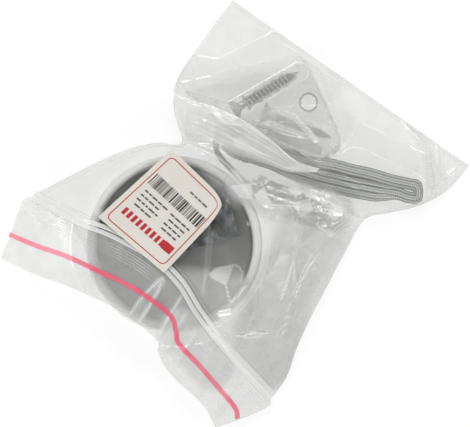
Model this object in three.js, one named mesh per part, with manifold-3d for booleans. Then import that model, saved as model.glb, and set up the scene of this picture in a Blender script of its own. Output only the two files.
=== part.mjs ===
// A hanging-cable mounting kit packed in a clear zip bag.
//
// The outer bag lies on its back film. It holds a round ceiling cup (open side up) with a loose
// mounting strap in it, a hank of wire rope with a cable gripper on its tail, and a small inner bag
// of screws and wall plugs. The bag's back film wraps up round the cup, so that its zip and its lip
// lie on top of the cup.
//
// Millimetres, +Z up. +Y runs from the bag's mouth to its sealed end, +X along the sealed edge.
// Everything is placed on the bag's own axes first. One shift at the end puts the origin at the
// centre of the underside.

import * as THREE from 'three';
import { mergeVertices } from 'three/addons/utils/BufferGeometryUtils.js';
import Module from 'manifold-3d';

const wasm = await Module();
wasm.setup();

// ---------------------------------------------------------------- driving dimensions

const FILM = 0.4; // film, drawn thicker than the real 0.05 mm
const INNER_FILM = 0.3; // film of the small inner bag
const GAP = 0.3; // left between parts that touch
const SEAM_GAP = 0.8; // left between the two films along the bag's sides
const FLOOR = FILM + GAP; // height on which the contents lie

const CUP_R = 30;
const CUP_HEIGHT = 20;
const CUP_WALL = 2.6;
const CUP_BASE = 1.5;
const CUP_CENTRE = new THREE.Vector2(-11, -20.3);
const CUP_TOP = FLOOR + CUP_HEIGHT;
const CUP_SCREW_HEIGHT = 11; // of the side screws above the cup's base
const GROMMET_R = 6;
const GROMMET_HOLE_R = 3.2;

const STRAP_ANGLE = 50.6; // degrees from +X
const STRAP_OFFSET = 4.6; // its middle line from the cup's centre
const STRAP_LENGTH = 44;
const STRAP_WIDTH = 16;
const STRAP_SHEET = 1.2;
const STRAP_TAB = 8;

const ROPE_R = 1;
const ROPE_SLEEVE_R = 1.4; // bore of every piece that the rope runs through
const HANK_HEIGHT = 6.4;

const GRIPPER_R = 3.6;
const GRIPPER_LENGTH = 14;
const GRIPPER_STUD = 5;
const GRIPPER_START = new THREE.Vector3(3.6, 12.7, FLOOR + 4.4);
const GRIPPER_ANGLE = 16; // degrees from +X

const SCREW_R = 2;
const SCREW_HEAD_R = 4;
const SCREW_PITCH = 2.2;
const PLUG_R = 2.4;
const PLUG_COLLAR_R = 2.7;
const PLUG_LENGTH = 20;

const LABEL_WIDTH = 30;
const LABEL_LENGTH = 34;
const LABEL_SHEET = 0.25;
const HANG_HOLE_R = 3;

const rad = THREE.MathUtils.degToRad;
const p2 = (x, y) => new THREE.Vector2(x, y);

// ---------------------------------------------------------------- materials

const paint = (color, roughness, metalness = 0) =>
  new THREE.MeshStandardMaterial({ color, roughness, metalness });

const MATERIALS = {
  film: paint(0xe8ebea, 0.25),
  zip: paint(0xdfe4e4, 0.3),
  paper: paint(0xe4dccf, 0.75),
  whitePaint: paint(0xe6e7e3, 0.4),
  zinc: paint(0xa9adaa, 0.3, 0.9),
  nickel: paint(0xb9bcba, 0.22, 0.95),
  rope: paint(0x9ea19d, 0.5, 0.6),
  nylon: paint(0xe9e9e4, 0.5),
};

// ---------------------------------------------------------------- outline of the bag, in plan

const curve = (...points) => new THREE.SplineCurve(points.map(([x, y]) => p2(x, y)));

// Every side runs from the sealed end towards the mouth.
const SEALED_EDGE = curve([-43, 60], [7, 60], [57, 60]);
const LEFT_SIDE = curve(
  [-43, 60], [-43.5, 43], [-43, 27], [-38, 17.5], [-29, 9.5], [-36, 4.5], [-43.5, -4], [-51, -16.5],
  [-60.5, -34.5]);
const RIGHT_SIDE = curve(
  [57, 60], [55.2, 46], [49, 34], [37.4, 22.8], [37, 5], [38, -10], [42, -26], [46, -36], [47, -44.5]);
const ZIP_LINE = curve(
  [-60.5, -34.5], [-43, -32.5], [-30, -29.5], [-15, -28], [-2, -30], [10, -35], [25, -39.5], [47, -44.5]);
const MOUTH_EDGE = curve(
  [-57.5, -59], [-43, -56.5], [-24, -52.6], [-9.5, -51.4], [5, -53], [16, -56.5], [27, -60], [37, -64.5]);
// Where the back film leaves the floor, just outside the cup.
const WRAP_LINE = curve(
  [-60.5, -35], [-47, -36.5], [-38, -38.6], [-26.5, -48.4], [-11, -52.2], [4.5, -48.4], [16, -38.6],
  [28, -40.5], [47, -45]);
const LIP_LEFT = curve([-60.5, -35.5], [-62.5, -39], [-59.5, -49], [-57.5, -59]);
const LIP_RIGHT = curve([47, -45.5], [47.5, -48.5], [42.5, -57], [37, -64.5]);

// A point of the patch between four sides: u goes across, v from `start` to `end`.
function coons(start, end, left, right) {
  const corner = [start.getPoint(0), start.getPoint(1), end.getPoint(0), end.getPoint(1)];
  return (u, v) => {
    const across = start.getPoint(u).lerp(end.getPoint(u), v);
    const along = left.getPoint(v).lerp(right.getPoint(v), u);
    const flat = corner[0].clone().lerp(corner[1], u).lerp(corner[2].clone().lerp(corner[3], u), v);
    return across.add(along).sub(flat);
  };
}

// ---------------------------------------------------------------- how high the film lies

// Each support is a round-ended stretch that holds the film up: its ends, its half width and the
// height of the film over each end.
const disc = (centre, radius, height) => (
  { a: centre, b: centre, radius, heights: [height, height], slope: 0.6 });
const stretch = (a, b, radius, heightA, heightB) => (
  { a, b, radius, heights: [heightA, heightB], slope: 0.9 });

function supportHeight(support, point) {
  const run = support.b.clone().sub(support.a);
  const along = point.clone().sub(support.a).dot(run) / Math.max(run.lengthSq(), 1e-9);
  const share = THREE.MathUtils.clamp(along, 0, 1);
  const away = support.a.clone().addScaledVector(run, share).distanceTo(point) - support.radius;
  const height = THREE.MathUtils.lerp(support.heights[0], support.heights[1], share);
  return height - support.slope * Math.max(0, away);
}

// The height of a film that lies on all its supports, rounded where they meet.
function drape(supports, floor, point) {
  const softness = 0.8;
  const heights = [floor, ...supports.map((support) => supportHeight(support, point))];
  const top = Math.max(...heights);
  const sum = heights.reduce((total, height) => total + Math.exp((height - top) / softness), 0);
  return top + softness * Math.log(sum / 2) * (sum > 2 ? 1 : 0);
}

// ---------------------------------------------------------------- solids

// Steps from 0 to 1 that are closer together at both ends.
const closerAtEnds = (share) => 0.3 * share + 0.35 * (1 - Math.cos(Math.PI * share));

// A closed sheet of even thickness about a surface given by a function of u and v.
function sheet(columns, rows, thickness, surface) {
  const grid = [];
  for (let row = 0; row <= rows; row += 1) {
    const across = Array.from({ length: columns + 1 }, (_, column) => closerAtEnds(column / columns));
    grid.push(across.map((u) => surface(u, row / rows)));
  }
  const at = (row, column) =>
    grid[THREE.MathUtils.clamp(row, 0, rows)][THREE.MathUtils.clamp(column, 0, columns)];
  const vertices = [];
  for (const side of [1, -1]) {
    for (let row = 0; row <= rows; row += 1) {
      for (let column = 0; column <= columns; column += 1) {
        const across = at(row, column + 1).clone().sub(at(row, column - 1));
        const along = at(row - 1, column).clone().sub(at(row + 1, column));
        const normal = across.cross(along).normalize();
        vertices.push(...at(row, column).clone().addScaledVector(normal, side * thickness / 2).toArray());
      }
    }
  }
  const index = (side, row, column) => side * (rows + 1) * (columns + 1) + row * (columns + 1) + column;
  const faces = [];
  const quad = (a, b, c, d) => faces.push(a, b, c, a, c, d);
  for (let row = 0; row < rows; row += 1) {
    for (let column = 0; column < columns; column += 1) {
      const [next, beside] = [row + 1, column + 1];
      quad(index(0, row, column), index(0, next, column), index(0, next, beside), index(0, row, beside));
      quad(index(1, row, column), index(1, row, beside), index(1, next, beside), index(1, next, column));
    }
  }
  for (let row = 0; row < rows; row += 1) {
    quad(index(0, row, 0), index(1, row, 0), index(1, row + 1, 0), index(0, row + 1, 0));
    const next = row + 1;
    quad(index(0, next, columns), index(1, next, columns), index(1, row, columns), index(0, row, columns));
  }
  for (let column = 0; column < columns; column += 1) {
    quad(index(0, 0, column + 1), index(1, 0, column + 1), index(1, 0, column), index(0, 0, column));
    const beside = column + 1;
    quad(index(0, rows, column), index(1, rows, column), index(1, rows, beside), index(0, rows, beside));
  }
  const geometry = new THREE.BufferGeometry();
  geometry.setAttribute('position', new THREE.Float32BufferAttribute(vertices, 3));
  geometry.setIndex(faces);
  return geometry;
}

// A solid of revolution about Z, from [radius, height] pairs that start and end on the axis or close.
const lathe = (profile, segments) =>
  new THREE.LatheGeometry(profile.map(([r, z]) => p2(r, z)), segments).rotateX(Math.PI / 2);

// A ring about Z: inner and outer radius, lowest and highest point. Counter-clockwise in section.
const ring = (inner, outer, low, high, segments = 16) =>
  lathe([[inner, low], [outer, low], [outer, high], [inner, high], [inner, low]], segments);

function toManifold(geometry) {
  const bare = geometry.clone();
  bare.deleteAttribute('normal');
  bare.deleteAttribute('uv');
  const merged = mergeVertices(bare, 1e-4);
  return new wasm.Manifold(new wasm.Mesh({
    numProp: 3,
    vertProperties: new Float32Array(merged.attributes.position.array),
    triVerts: new Uint32Array(merged.index.array),
  }));
}

function fromManifold(solid) {
  const mesh = solid.getMesh();
  const geometry = new THREE.BufferGeometry();
  geometry.setAttribute('position', new THREE.BufferAttribute(mesh.vertProperties, 3));
  geometry.setIndex(new THREE.BufferAttribute(mesh.triVerts, 1));
  return geometry;
}

const cut = (body, ...tools) =>
  fromManifold(tools.reduce((solid, tool) => solid.subtract(toManifold(tool)), toManifold(body)));

const join = (...bodies) =>
  fromManifold(bodies.slice(1).reduce((solid, body) => solid.add(toManifold(body)), toManifold(bodies[0])));

const model = new THREE.Group();

function add(name, geometry, material, parent = model) {
  const mesh = new THREE.Mesh(geometry, material);
  mesh.name = name;
  parent.add(mesh);
  return mesh;
}

// A group whose local Z runs from one point towards another.
function axisGroup(from, to) {
  const group = new THREE.Group();
  group.position.copy(from);
  group.quaternion.setFromUnitVectors(new THREE.Vector3(0, 0, 1), to.clone().sub(from).normalize());
  model.add(group);
  return group;
}

// ---------------------------------------------------------------- where the contents lie

// Each loose fixing in the inner bag: its head end and its tip, in plan, and the height of its axis at both.
// The first screw lies along the top of a wall plug.
const INNER_FLOOR = FLOOR + INNER_FILM + GAP;
const PLUG_AXIS = INNER_FLOOR + PLUG_COLLAR_R + 0.1;
const UPPER_SCREW_AXIS = PLUG_AXIS + PLUG_COLLAR_R + SCREW_R + GAP;
const SCREWS = [
  { head: p2(-21, 28.6), tip: p2(-10, 52.8), headAxis: UPPER_SCREW_AXIS, tipAxis: UPPER_SCREW_AXIS - 0.8 },
  { head: p2(-12.2, 33.8), tip: p2(12.4, 40.6), headAxis: INNER_FLOOR + SCREW_HEAD_R + 0.1,
    tipAxis: INNER_FLOOR + SCREW_R + 0.3 },
];
const PLUGS = [
  { head: p2(-7.3, 30.4), tip: p2(12.2, 34.8) },
  { head: p2(-18.9, 33.2), tip: p2(-10.6, 51.4) },
];

// Film supports of the fixings, `lift` above them.
const fixingSupports = (lift) => [
  ...SCREWS.map(({ head, tip, headAxis, tipAxis }) =>
    stretch(head, tip, 3.8, headAxis + SCREW_HEAD_R + lift, tipAxis + SCREW_R + 1 + lift)),
  ...PLUGS.map(({ head, tip }) =>
    stretch(head, tip, 3.4, PLUG_AXIS + PLUG_COLLAR_R + 0.3 + lift, PLUG_AXIS + PLUG_COLLAR_R + 0.3 + lift)),
];

const gripperDirection = new THREE.Vector3(Math.cos(rad(GRIPPER_ANGLE)), Math.sin(rad(GRIPPER_ANGLE)), 0);
const alongGripper = (distance) => GRIPPER_START.clone().addScaledVector(gripperDirection, distance);
const GRIPPER_TOP = GRIPPER_START.z + GRIPPER_R + 1;
const HANK_TOP = FLOOR + HANK_HEIGHT;
const STOP_START = p2(-20.4, 20);
const STOP_END = p2(-28.9, 18.2);

const outerSupports = [
  disc(CUP_CENTRE, CUP_R + 2, CUP_TOP + GAP),
  ...fixingSupports(2 * GAP + INNER_FILM + 1.2),
  stretch(p2(-12, 19.4), p2(12, 25.2), 5.6, HANK_TOP + 2 * GAP, HANK_TOP + 2 * GAP),
  stretch(p2(12, 25.2), p2(44.5, 39), 6.4, HANK_TOP + 2 * GAP, HANK_TOP + 2 * GAP),
  stretch(p2(24, 38), p2(43, 41.5), 7, HANK_TOP + 2 * GAP, HANK_TOP + 2 * GAP),
  stretch(p2(-5.4, 10.1), p2(25.6, 19), 5.2, GRIPPER_TOP + GAP, GRIPPER_TOP + GAP),
  stretch(STOP_START, STOP_END, 3, FLOOR + 5, FLOOR + 5),
];

// ---------------------------------------------------------------- outer bag

const NEAR_CUP = disc(CUP_CENTRE, CUP_R + 2, CUP_TOP + GAP);
const NEAR_HANK = stretch(p2(34, 35), p2(44, 41), 8.5, 6, 6);

// Height of the side seam: held up beside the cup and the hank, near the floor elsewhere.
const seamHeight = (point) =>
  Math.max(FLOOR + 0.2, 0.75 * supportHeight(NEAR_CUP, point), supportHeight(NEAR_HANK, point));

// 1 inside the film, falling to 0 at its sides over `width`.
function insideSides(u, patch, v, width) {
  const across = Math.min(u, 1 - u) * patch(0, v).distanceTo(patch(1, v));
  return THREE.MathUtils.smoothstep(across, 0, width);
}

function bagFrontFilm() {
  const patch = coons(SEALED_EDGE, ZIP_LINE, LEFT_SIDE, RIGHT_SIDE);
  const end = 1 - 1.2 / 95; // stops short of the zip
  const surface = (u, share) => {
    const v = share * end;
    const point = patch(u, v);
    const seam = seamHeight(point) + SEAM_GAP / 2 + FILM / 2;
    const inside = insideSides(u, patch, v, 3.4);
    const sealed = THREE.MathUtils.smoothstep(v, 0, 0.05);
    const lying = Math.max(drape(outerSupports, FLOOR, point) + FILM / 2, seam);
    return new THREE.Vector3(point.x, point.y, THREE.MathUtils.lerp(seam, lying, inside * sealed));
  };
  return sheet(22, 24, FILM, surface);
}

// The top of the cup, or the slope of the film beside it.
const aboveCup = (point) => Math.max(2 * FLOOR, supportHeight(NEAR_CUP, point));

// From the sealed edge along the floor, up round the cup and back over its rim to the zip.
function bagBackFilm() {
  const patch = coons(SEALED_EDGE, WRAP_LINE, LEFT_SIDE, RIGHT_SIDE);
  const rows = { floor: 16, wall: 3, top: 3 };
  const allRows = rows.floor + rows.wall + rows.top;
  const floorShare = rows.floor / allRows;
  const wallShare = (rows.floor + rows.wall) / allRows;
  const surface = (u, v) => {
    const wrap = WRAP_LINE.getPoint(u);
    if (v <= floorShare) {
      const share = v / floorShare;
      const point = patch(u, share);
      const inside = insideSides(u, patch, share, 3.4);
      const seam = seamHeight(point) - SEAM_GAP / 2 - FILM / 2;
      return new THREE.Vector3(point.x, point.y, THREE.MathUtils.lerp(seam, FILM / 2, inside));
    }
    const low = patchFloor(u, wrap);
    if (v <= wallShare) {
      const share = (v - floorShare) / (wallShare - floorShare);
      const high = aboveCup(wrap) + FILM / 2;
      const bulge = 0.4 * Math.sin(Math.PI * share);
      return new THREE.Vector3(wrap.x, wrap.y - bulge, THREE.MathUtils.lerp(low, high, share));
    }
    const share = (v - wallShare) / (1 - wallShare);
    const point = wrap.clone().lerp(ZIP_LINE.getPoint(u), 0.92 * share);
    return new THREE.Vector3(point.x, point.y, aboveCup(point) + FILM / 2);
  };
  return sheet(24, allRows, FILM, surface);
}

// The film's height where it leaves the floor: at the side seam's height at both ends of the wrap.
function patchFloor(u, wrap) {
  const inside = THREE.MathUtils.smoothstep(Math.min(u, 1 - u), 0, 0.04);
  return THREE.MathUtils.lerp(seamHeight(wrap) - SEAM_GAP / 2 - FILM / 2, FILM / 2, inside);
}

// The lip clears the corner where the back film turns over the cup's rim.
const aboveWrap = (point) =>
  Math.max(2 * FLOOR, supportHeight(disc(CUP_CENTRE, CUP_R + 5, CUP_TOP + GAP), point));

// The lip's two layers run from the zip to the mouth, one on the other.
function lip(level) {
  const patch = coons(ZIP_LINE, MOUTH_EDGE, LIP_LEFT, LIP_RIGHT);
  return sheet(22, 7, FILM, (u, v) => {
    const point = patch(u, 0.07 + 0.93 * v);
    const height = aboveWrap(point) + FILM + GAP + level * (FILM + GAP + 0.2);
    return new THREE.Vector3(point.x, point.y, height + FILM / 2);
  });
}

// One half of the press zip: a bead along the zip line.
function zipBead(level) {
  const steps = 28;
  const width = 1.5;
  return sheet(steps, 1, 0.7, (u, v) => {
    const point = ZIP_LINE.getPoint(u);
    const tangent = ZIP_LINE.getTangent(u);
    const across = (0.5 - v) * width;
    const height = aboveCup(point) + FILM + GAP + 0.45 + level * (0.7 + GAP);
    return new THREE.Vector3(point.x - tangent.y * across, point.y + tangent.x * across, height);
  });
}

function label() {
  const plate = new THREE.BoxGeometry(LABEL_WIDTH, LABEL_LENGTH, LABEL_SHEET);
  const mesh = add('label', plate, MATERIALS.paper);
  mesh.position.set(-20.2, -12.2, CUP_TOP + 2.5);
  mesh.rotation.set(rad(-3.6), 0, rad(-9));
  return mesh;
}

// ---------------------------------------------------------------- inner bag of fixings

const INNER_BOTTOM = curve([-25, 23], [-5, 26.6], [14.4, 31.3]);
const INNER_TOP = curve([-38.5, 24.6], [-25, 40.8], [-10.6, 57.6]);
const INNER_LEFT = curve([-25, 23], [-32, 23.8], [-38.5, 24.6]);
const INNER_RIGHT = curve([14.4, 31.3], [16.4, 40.6], [6.4, 48], [-10.6, 57.6]);

function innerFilm(height) {
  const patch = coons(INNER_BOTTOM, INNER_TOP, INNER_LEFT, INNER_RIGHT);
  const film = sheet(11, 12, INNER_FILM, (u, v) => {
    const point = patch(u, v);
    return new THREE.Vector3(point.x, point.y, height(point, Math.min(u, 1 - u), Math.min(v, 1 - v)));
  });
  const hole = new THREE.CylinderGeometry(HANG_HOLE_R, HANG_HOLE_R, 40, 16).rotateX(Math.PI / 2);
  return cut(film, hole.translate(-1.2, 46, 0));
}

const innerBackFilm = () => innerFilm(() => FLOOR + INNER_FILM / 2);

const innerFrontFilm = () =>
  innerFilm((point, u, v) => {
    const low = INNER_FLOOR + INNER_FILM / 2;
    const inside = THREE.MathUtils.smoothstep(Math.min(u, v), 0, 0.06);
    const lying = drape(fixingSupports(GAP), INNER_FLOOR, point) + INNER_FILM / 2;
    return THREE.MathUtils.lerp(low, lying, inside);
  });

// ---------------------------------------------------------------- ceiling cup and strap

function buildCup() {
  const group = new THREE.Group();
  group.position.set(CUP_CENTRE.x, CUP_CENTRE.y, FLOOR);
  model.add(group);
  const inner = CUP_R - CUP_WALL;
  const shell = lathe([
    [GROMMET_HOLE_R, 0], [CUP_R - 2.5, 0], [CUP_R - 0.7, 0.7], [CUP_R, 2.5], [CUP_R, CUP_HEIGHT - 0.6],
    [CUP_R - 0.6, CUP_HEIGHT], [inner + 0.6, CUP_HEIGHT], [inner, CUP_HEIGHT - 0.6], [inner, CUP_BASE + 1.5],
    [inner - 1.5, CUP_BASE], [GROMMET_HOLE_R, CUP_BASE], [GROMMET_HOLE_R, 0],
  ], 40);
  const screwHoles = [0, 180].map((turn) =>
    new THREE.CylinderGeometry(1.95, 1.95, 8, 12)
      .rotateZ(Math.PI / 2)
      .translate(CUP_R - CUP_WALL / 2, 0, CUP_SCREW_HEIGHT)
      .rotateZ(rad(STRAP_ANGLE + turn)));
  add('ceiling_cup', cut(shell, ...screwHoles), MATERIALS.whitePaint, group);

  const neck = GROMMET_HOLE_R - GAP;
  const bore = ROPE_R + 0.6;
  const grommet = lathe([
    [bore, 0.2], [neck, 0.2], [neck, CUP_BASE + GAP], [GROMMET_R, CUP_BASE + GAP], [GROMMET_R, CUP_BASE + 1],
    [bore + 1, CUP_BASE + 1.3], [bore, CUP_BASE + 1.3], [bore, 0.2],
  ], 24);
  add('cup_grommet', grommet, MATERIALS.nylon, group);

  [0, 180].forEach((turn, i) => {
    const screw = lathe([[0, 0], [1.5, 0], [1.5, 4.2], [0.7, 4.2], [0.7, 3.2], [0, 3.2]], 12);
    screw.rotateY(Math.PI / 2).translate(CUP_R - 4.3, 0, CUP_SCREW_HEIGHT).rotateZ(rad(STRAP_ANGLE + turn));
    add(`cup_screw_${i + 1}`, screw, MATERIALS.zinc, group);
  });
}

function buildStrap() {
  const half = STRAP_LENGTH / 2;
  const bar = new THREE.BoxGeometry(STRAP_LENGTH, STRAP_WIDTH, STRAP_SHEET);
  const tab = (side) =>
    new THREE.BoxGeometry(STRAP_SHEET, STRAP_WIDTH, STRAP_TAB)
      .translate(side * (half - STRAP_SHEET / 2), 0, STRAP_TAB / 2 - STRAP_SHEET / 2);
  const drill = (radius, length) => new THREE.CylinderGeometry(radius, radius, length, 12);
  const slot = (side) => {
    const x = side * half * 0.5;
    const ends = [-3, 3].map((y) => drill(2.3, 6).rotateX(Math.PI / 2).translate(x, y, 0));
    return join(...ends, new THREE.BoxGeometry(4.6, 6, 6).translate(x, 0, 0));
  };
  const tapped = (side) => drill(1.6, 6).rotateZ(Math.PI / 2).translate(side * half, 0, STRAP_TAB * 0.6);
  const centre = drill(4.6, 6).rotateX(Math.PI / 2);
  const strap = cut(join(bar, tab(1), tab(-1)), slot(1), slot(-1), centre, tapped(1), tapped(-1));
  const mesh = add('mounting_strap', strap, MATERIALS.zinc);
  const across = rad(STRAP_ANGLE + 90);
  mesh.position.set(
    CUP_CENTRE.x + STRAP_OFFSET * Math.cos(across),
    CUP_CENTRE.y + STRAP_OFFSET * Math.sin(across),
    FLOOR + CUP_BASE + 1.3 + GAP + STRAP_SHEET / 2,
  );
  mesh.rotation.z = rad(STRAP_ANGLE);
}

// ---------------------------------------------------------------- rope

function ropeHank() {
  const outline = new THREE.SplineCurve([
    p2(-16.8, 18.6), p2(-14.5, 16.2), p2(-8, 16.4), p2(1.3, 18.9), p2(11.5, 22), p2(23.5, 25.3), p2(32, 28.6),
    p2(40, 32.4), p2(45.6, 36), p2(48.9, 39.8), p2(48.9, 43.2), p2(45, 45.3), p2(37.5, 44.6), p2(30.5, 42.4),
    p2(24, 39.8), p2(19.9, 37.2), p2(17.4, 32), p2(11.5, 28.8), p2(0, 25), p2(-8.5, 23.2), p2(-14.5, 22.2),
    p2(-16.8, 20.8), p2(-16.8, 18.6),
  ]);
  const shape = new THREE.Shape(outline.getPoints(66).slice(0, -1));
  const hank = new THREE.ExtrudeGeometry(shape, { depth: HANK_HEIGHT, bevelEnabled: false });
  return hank.translate(0, 0, FLOOR);
}

// A round rope of the radius given along a line of points.
function ropeTube(points, radius) {
  const path = new THREE.CatmullRomCurve3(points, false, 'centripetal');
  const section = new THREE.Shape();
  section.absarc(0, 0, radius, 0, 2 * Math.PI, false);
  const steps = Math.round(path.getLength() / 4.5);
  const settings = { steps, curveSegments: 8, bevelEnabled: false, extrudePath: path };
  return new THREE.ExtrudeGeometry(section, settings);
}

// The rope's tail leaves the hank at its left end, rounds the cup and runs through the gripper.
const TAIL_END = alongGripper(GRIPPER_LENGTH + 11);
const TAIL = [
  new THREE.Vector3(-14.2, 13, FLOOR + ROPE_R + 0.1),
  new THREE.Vector3(-9.5, 11.8, FLOOR + ROPE_R + 0.6),
  new THREE.Vector3(-5.4, 10.8, FLOOR + ROPE_R + 1.6),
  alongGripper(-6.5),
  alongGripper(-3),
  alongGripper(4),
  alongGripper(12),
  TAIL_END,
];

function buildRope() {
  add('rope_hank', ropeHank(), MATERIALS.rope);
  add('rope_tail', ropeTube(TAIL, ROPE_R), MATERIALS.rope);
  const tip = axisGroup(TAIL_END, alongGripper(GRIPPER_LENGTH + 20));
  const sleeve = lathe([[0, GAP], [1.3, GAP], [1.3, 3], [0.9, 3.4], [0, 3.4]], 12);
  add('rope_tip_sleeve', sleeve, MATERIALS.nickel, tip);
}

// The crimped stop on the rope's other end, which the ceiling cup hangs the rope by.
function ropeStop() {
  const stop = lathe([[0, 0], [1.5, 0], [1.5, 5], [2, 5.4], [2, 8.2], [1.4, 8.6], [0, 8.6]], 12);
  const height = FLOOR + 2.1;
  const from = new THREE.Vector3(STOP_START.x, STOP_START.y, height);
  const to = new THREE.Vector3(STOP_END.x, STOP_END.y, height);
  add('rope_end_stop', stop, MATERIALS.nickel, axisGroup(from, to));
  const lead = [
    new THREE.Vector3(-17.7, 20.2, FLOOR + ROPE_R + 0.1), new THREE.Vector3(-19, 20.3, FLOOR + 1.9)];
  lead.push(from.clone().addScaledVector(to.clone().sub(from).normalize(), -GAP));
  add('rope_lead', ropeTube(lead, ROPE_R), MATERIALS.rope);
}

// ---------------------------------------------------------------- cable gripper

function buildGripper() {
  const group = axisGroup(GRIPPER_START, alongGripper(1));
  const chamber = 2.65;
  const wall = 1.4;
  const body = lathe([
    [ROPE_SLEEVE_R, -GRIPPER_STUD], [2.2, -GRIPPER_STUD], [2.2, 0], [GRIPPER_R - 0.4, 0], [GRIPPER_R, 0.4],
    [GRIPPER_R, GRIPPER_LENGTH - 2.4], [chamber, GRIPPER_LENGTH - 2.4], [chamber, wall],
    [ROPE_SLEEVE_R, wall],
    [ROPE_SLEEVE_R, -GRIPPER_STUD],
  ], 20);
  add('gripper_body', body, MATERIALS.nickel, group);

  const capLow = GRIPPER_LENGTH - 2.4 + GAP;
  const cap = lathe([
    [2.3, capLow], [GRIPPER_R, capLow], [GRIPPER_R, capLow + 1.4], [GRIPPER_R - 0.7, capLow + 2.2],
    [2.3, capLow + 2.2], [2.3, capLow],
  ], 20);
  add('gripper_cap', cap, MATERIALS.nickel, group);

  const plungerLow = 8.6;
  const plungerHigh = GRIPPER_LENGTH + 3.6;
  const plunger = lathe([
    [ROPE_SLEEVE_R, plungerLow], [2.35, plungerLow], [2.35, plungerLow + 1.4], [1.95, plungerLow + 1.4],
    [1.95, plungerHigh - 0.3], [1.7, plungerHigh], [ROPE_SLEEVE_R, plungerHigh], [ROPE_SLEEVE_R, plungerLow],
  ], 16);
  add('gripper_plunger', plunger, MATERIALS.nickel, group);

  add('gripper_spring', ring(1.6, 2.3, 4.4, 6.4, 16), MATERIALS.zinc, group);
  const ballRing = ROPE_R + GAP + 0.6;
  [90, 210, 330].forEach((turn, i) => {
    const ball = new THREE.SphereGeometry(0.55, 8, 6);
    ball.translate(ballRing * Math.cos(rad(turn)), ballRing * Math.sin(rad(turn)), 2.9);
    add(`gripper_ball_${i + 1}`, ball, MATERIALS.zinc, group);
  });

  const teeth = 16;
  const knurl = new THREE.Shape();
  for (let i = 0; i < 2 * teeth; i += 1) {
    const radius = i % 2 ? 4.15 : 3.85;
    const angle = (i * Math.PI) / teeth;
    const place = i === 0 ? 'moveTo' : 'lineTo';
    knurl[place](radius * Math.cos(angle), radius * Math.sin(angle));
  }
  const bore = new THREE.Path();
  bore.absarc(0, 0, 2.5, 0, 2 * Math.PI, true);
  knurl.holes.push(bore);
  const nut = new THREE.ExtrudeGeometry(knurl, { depth: 3.2, bevelEnabled: false, curveSegments: 8 });
  add('gripper_nut', nut.translate(0, 0, -3.5), MATERIALS.nickel, group);
}

// ---------------------------------------------------------------- screws and wall plugs

// A countersunk wood screw, its head's face at z = 0 and its tip at z = length.
function screwGeometry(length) {
  const core = SCREW_R * 0.68;
  const profile = [[0, 0], [SCREW_HEAD_R, 0], [SCREW_HEAD_R, 0.5], [core, 3]];
  const turns = Math.floor((length - 9) / SCREW_PITCH);
  for (let turn = 0; turn < turns; turn += 1) {
    const start = 5 + turn * SCREW_PITCH;
    profile.push([core, start], [SCREW_R, start + SCREW_PITCH / 2]);
  }
  profile.push([core, 5 + turns * SCREW_PITCH], [core * 0.75, length - 2.4], [0, length]);
  const screw = lathe(profile, 10);
  const blade = (turn) => new THREE.BoxGeometry(4, 0.8, 2.2).rotateZ(rad(turn));
  return cut(screw, join(blade(45), blade(135)));
}

// A split wall plug with rings of teeth.
function plugGeometry() {
  const profile = [[1.2, 0], [PLUG_COLLAR_R, 0], [PLUG_COLLAR_R, 0.8], [PLUG_R - 0.3, 0.8]];
  for (let tooth = 0; tooth < 4; tooth += 1) {
    const start = 3 + tooth * 3.4;
    profile.push([PLUG_R - 0.5, start], [PLUG_R, start + 2.4]);
  }
  profile.push([PLUG_R - 0.5, 17], [PLUG_R - 0.9, PLUG_LENGTH], [1.2, PLUG_LENGTH], [1.2, 0]);
  return cut(lathe(profile, 10), new THREE.BoxGeometry(8, 0.8, 15).translate(0, 0, 14));
}

function buildFixings() {
  SCREWS.forEach(({ head, tip, headAxis, tipAxis }, i) => {
    const from = new THREE.Vector3(head.x, head.y, headAxis);
    const to = new THREE.Vector3(tip.x, tip.y, tipAxis);
    add(`wood_screw_${i + 1}`, screwGeometry(from.distanceTo(to)), MATERIALS.zinc, axisGroup(from, to));
  });
  PLUGS.forEach(({ head, tip }, i) => {
    const from = new THREE.Vector3(head.x, head.y, PLUG_AXIS);
    const to = new THREE.Vector3(tip.x, tip.y, PLUG_AXIS);
    add(`wall_plug_${i + 1}`, plugGeometry(), MATERIALS.nylon, axisGroup(from, to));
  });
}

// ---------------------------------------------------------------- assembly

add('bag_back_film', bagBackFilm(), MATERIALS.film);
add('bag_front_film', bagFrontFilm(), MATERIALS.film);
add('bag_back_lip', lip(0), MATERIALS.film);
add('bag_front_lip', lip(1), MATERIALS.film);
add('zip_groove', zipBead(0), MATERIALS.zip);
add('zip_rib', zipBead(1), MATERIALS.zip);
label();
add('inner_bag_back_film', innerBackFilm(), MATERIALS.film);
add('inner_bag_front_film', innerFrontFilm(), MATERIALS.film);
buildCup();
buildStrap();
buildRope();
ropeStop();
buildGripper();
buildFixings();

// The origin goes to the centre of the box round the whole object, on its underside.
model.updateMatrixWorld(true);
const bounds = new THREE.Box3().setFromObject(model, true);
model.position.set(-(bounds.min.x + bounds.max.x) / 2, -(bounds.min.y + bounds.max.y) / 2, -bounds.min.z);

export default model;
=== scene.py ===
"""The looks of a hanging-cable mounting kit packed in a clear zip bag.

Places and sizes are in millimetres on the bag's own axes, as in the part's source: +Y runs from the
bag's mouth to its sealed end, +X along the sealed edge, +Z up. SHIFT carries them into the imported
frame, which is in metres.
"""

import math
from contextlib import contextmanager

import bmesh
import bpy
import numpy as np
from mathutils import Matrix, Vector
from mathutils.bvhtree import BVHTree
from mathutils.geometry import delaunay_2d_cdt


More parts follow.
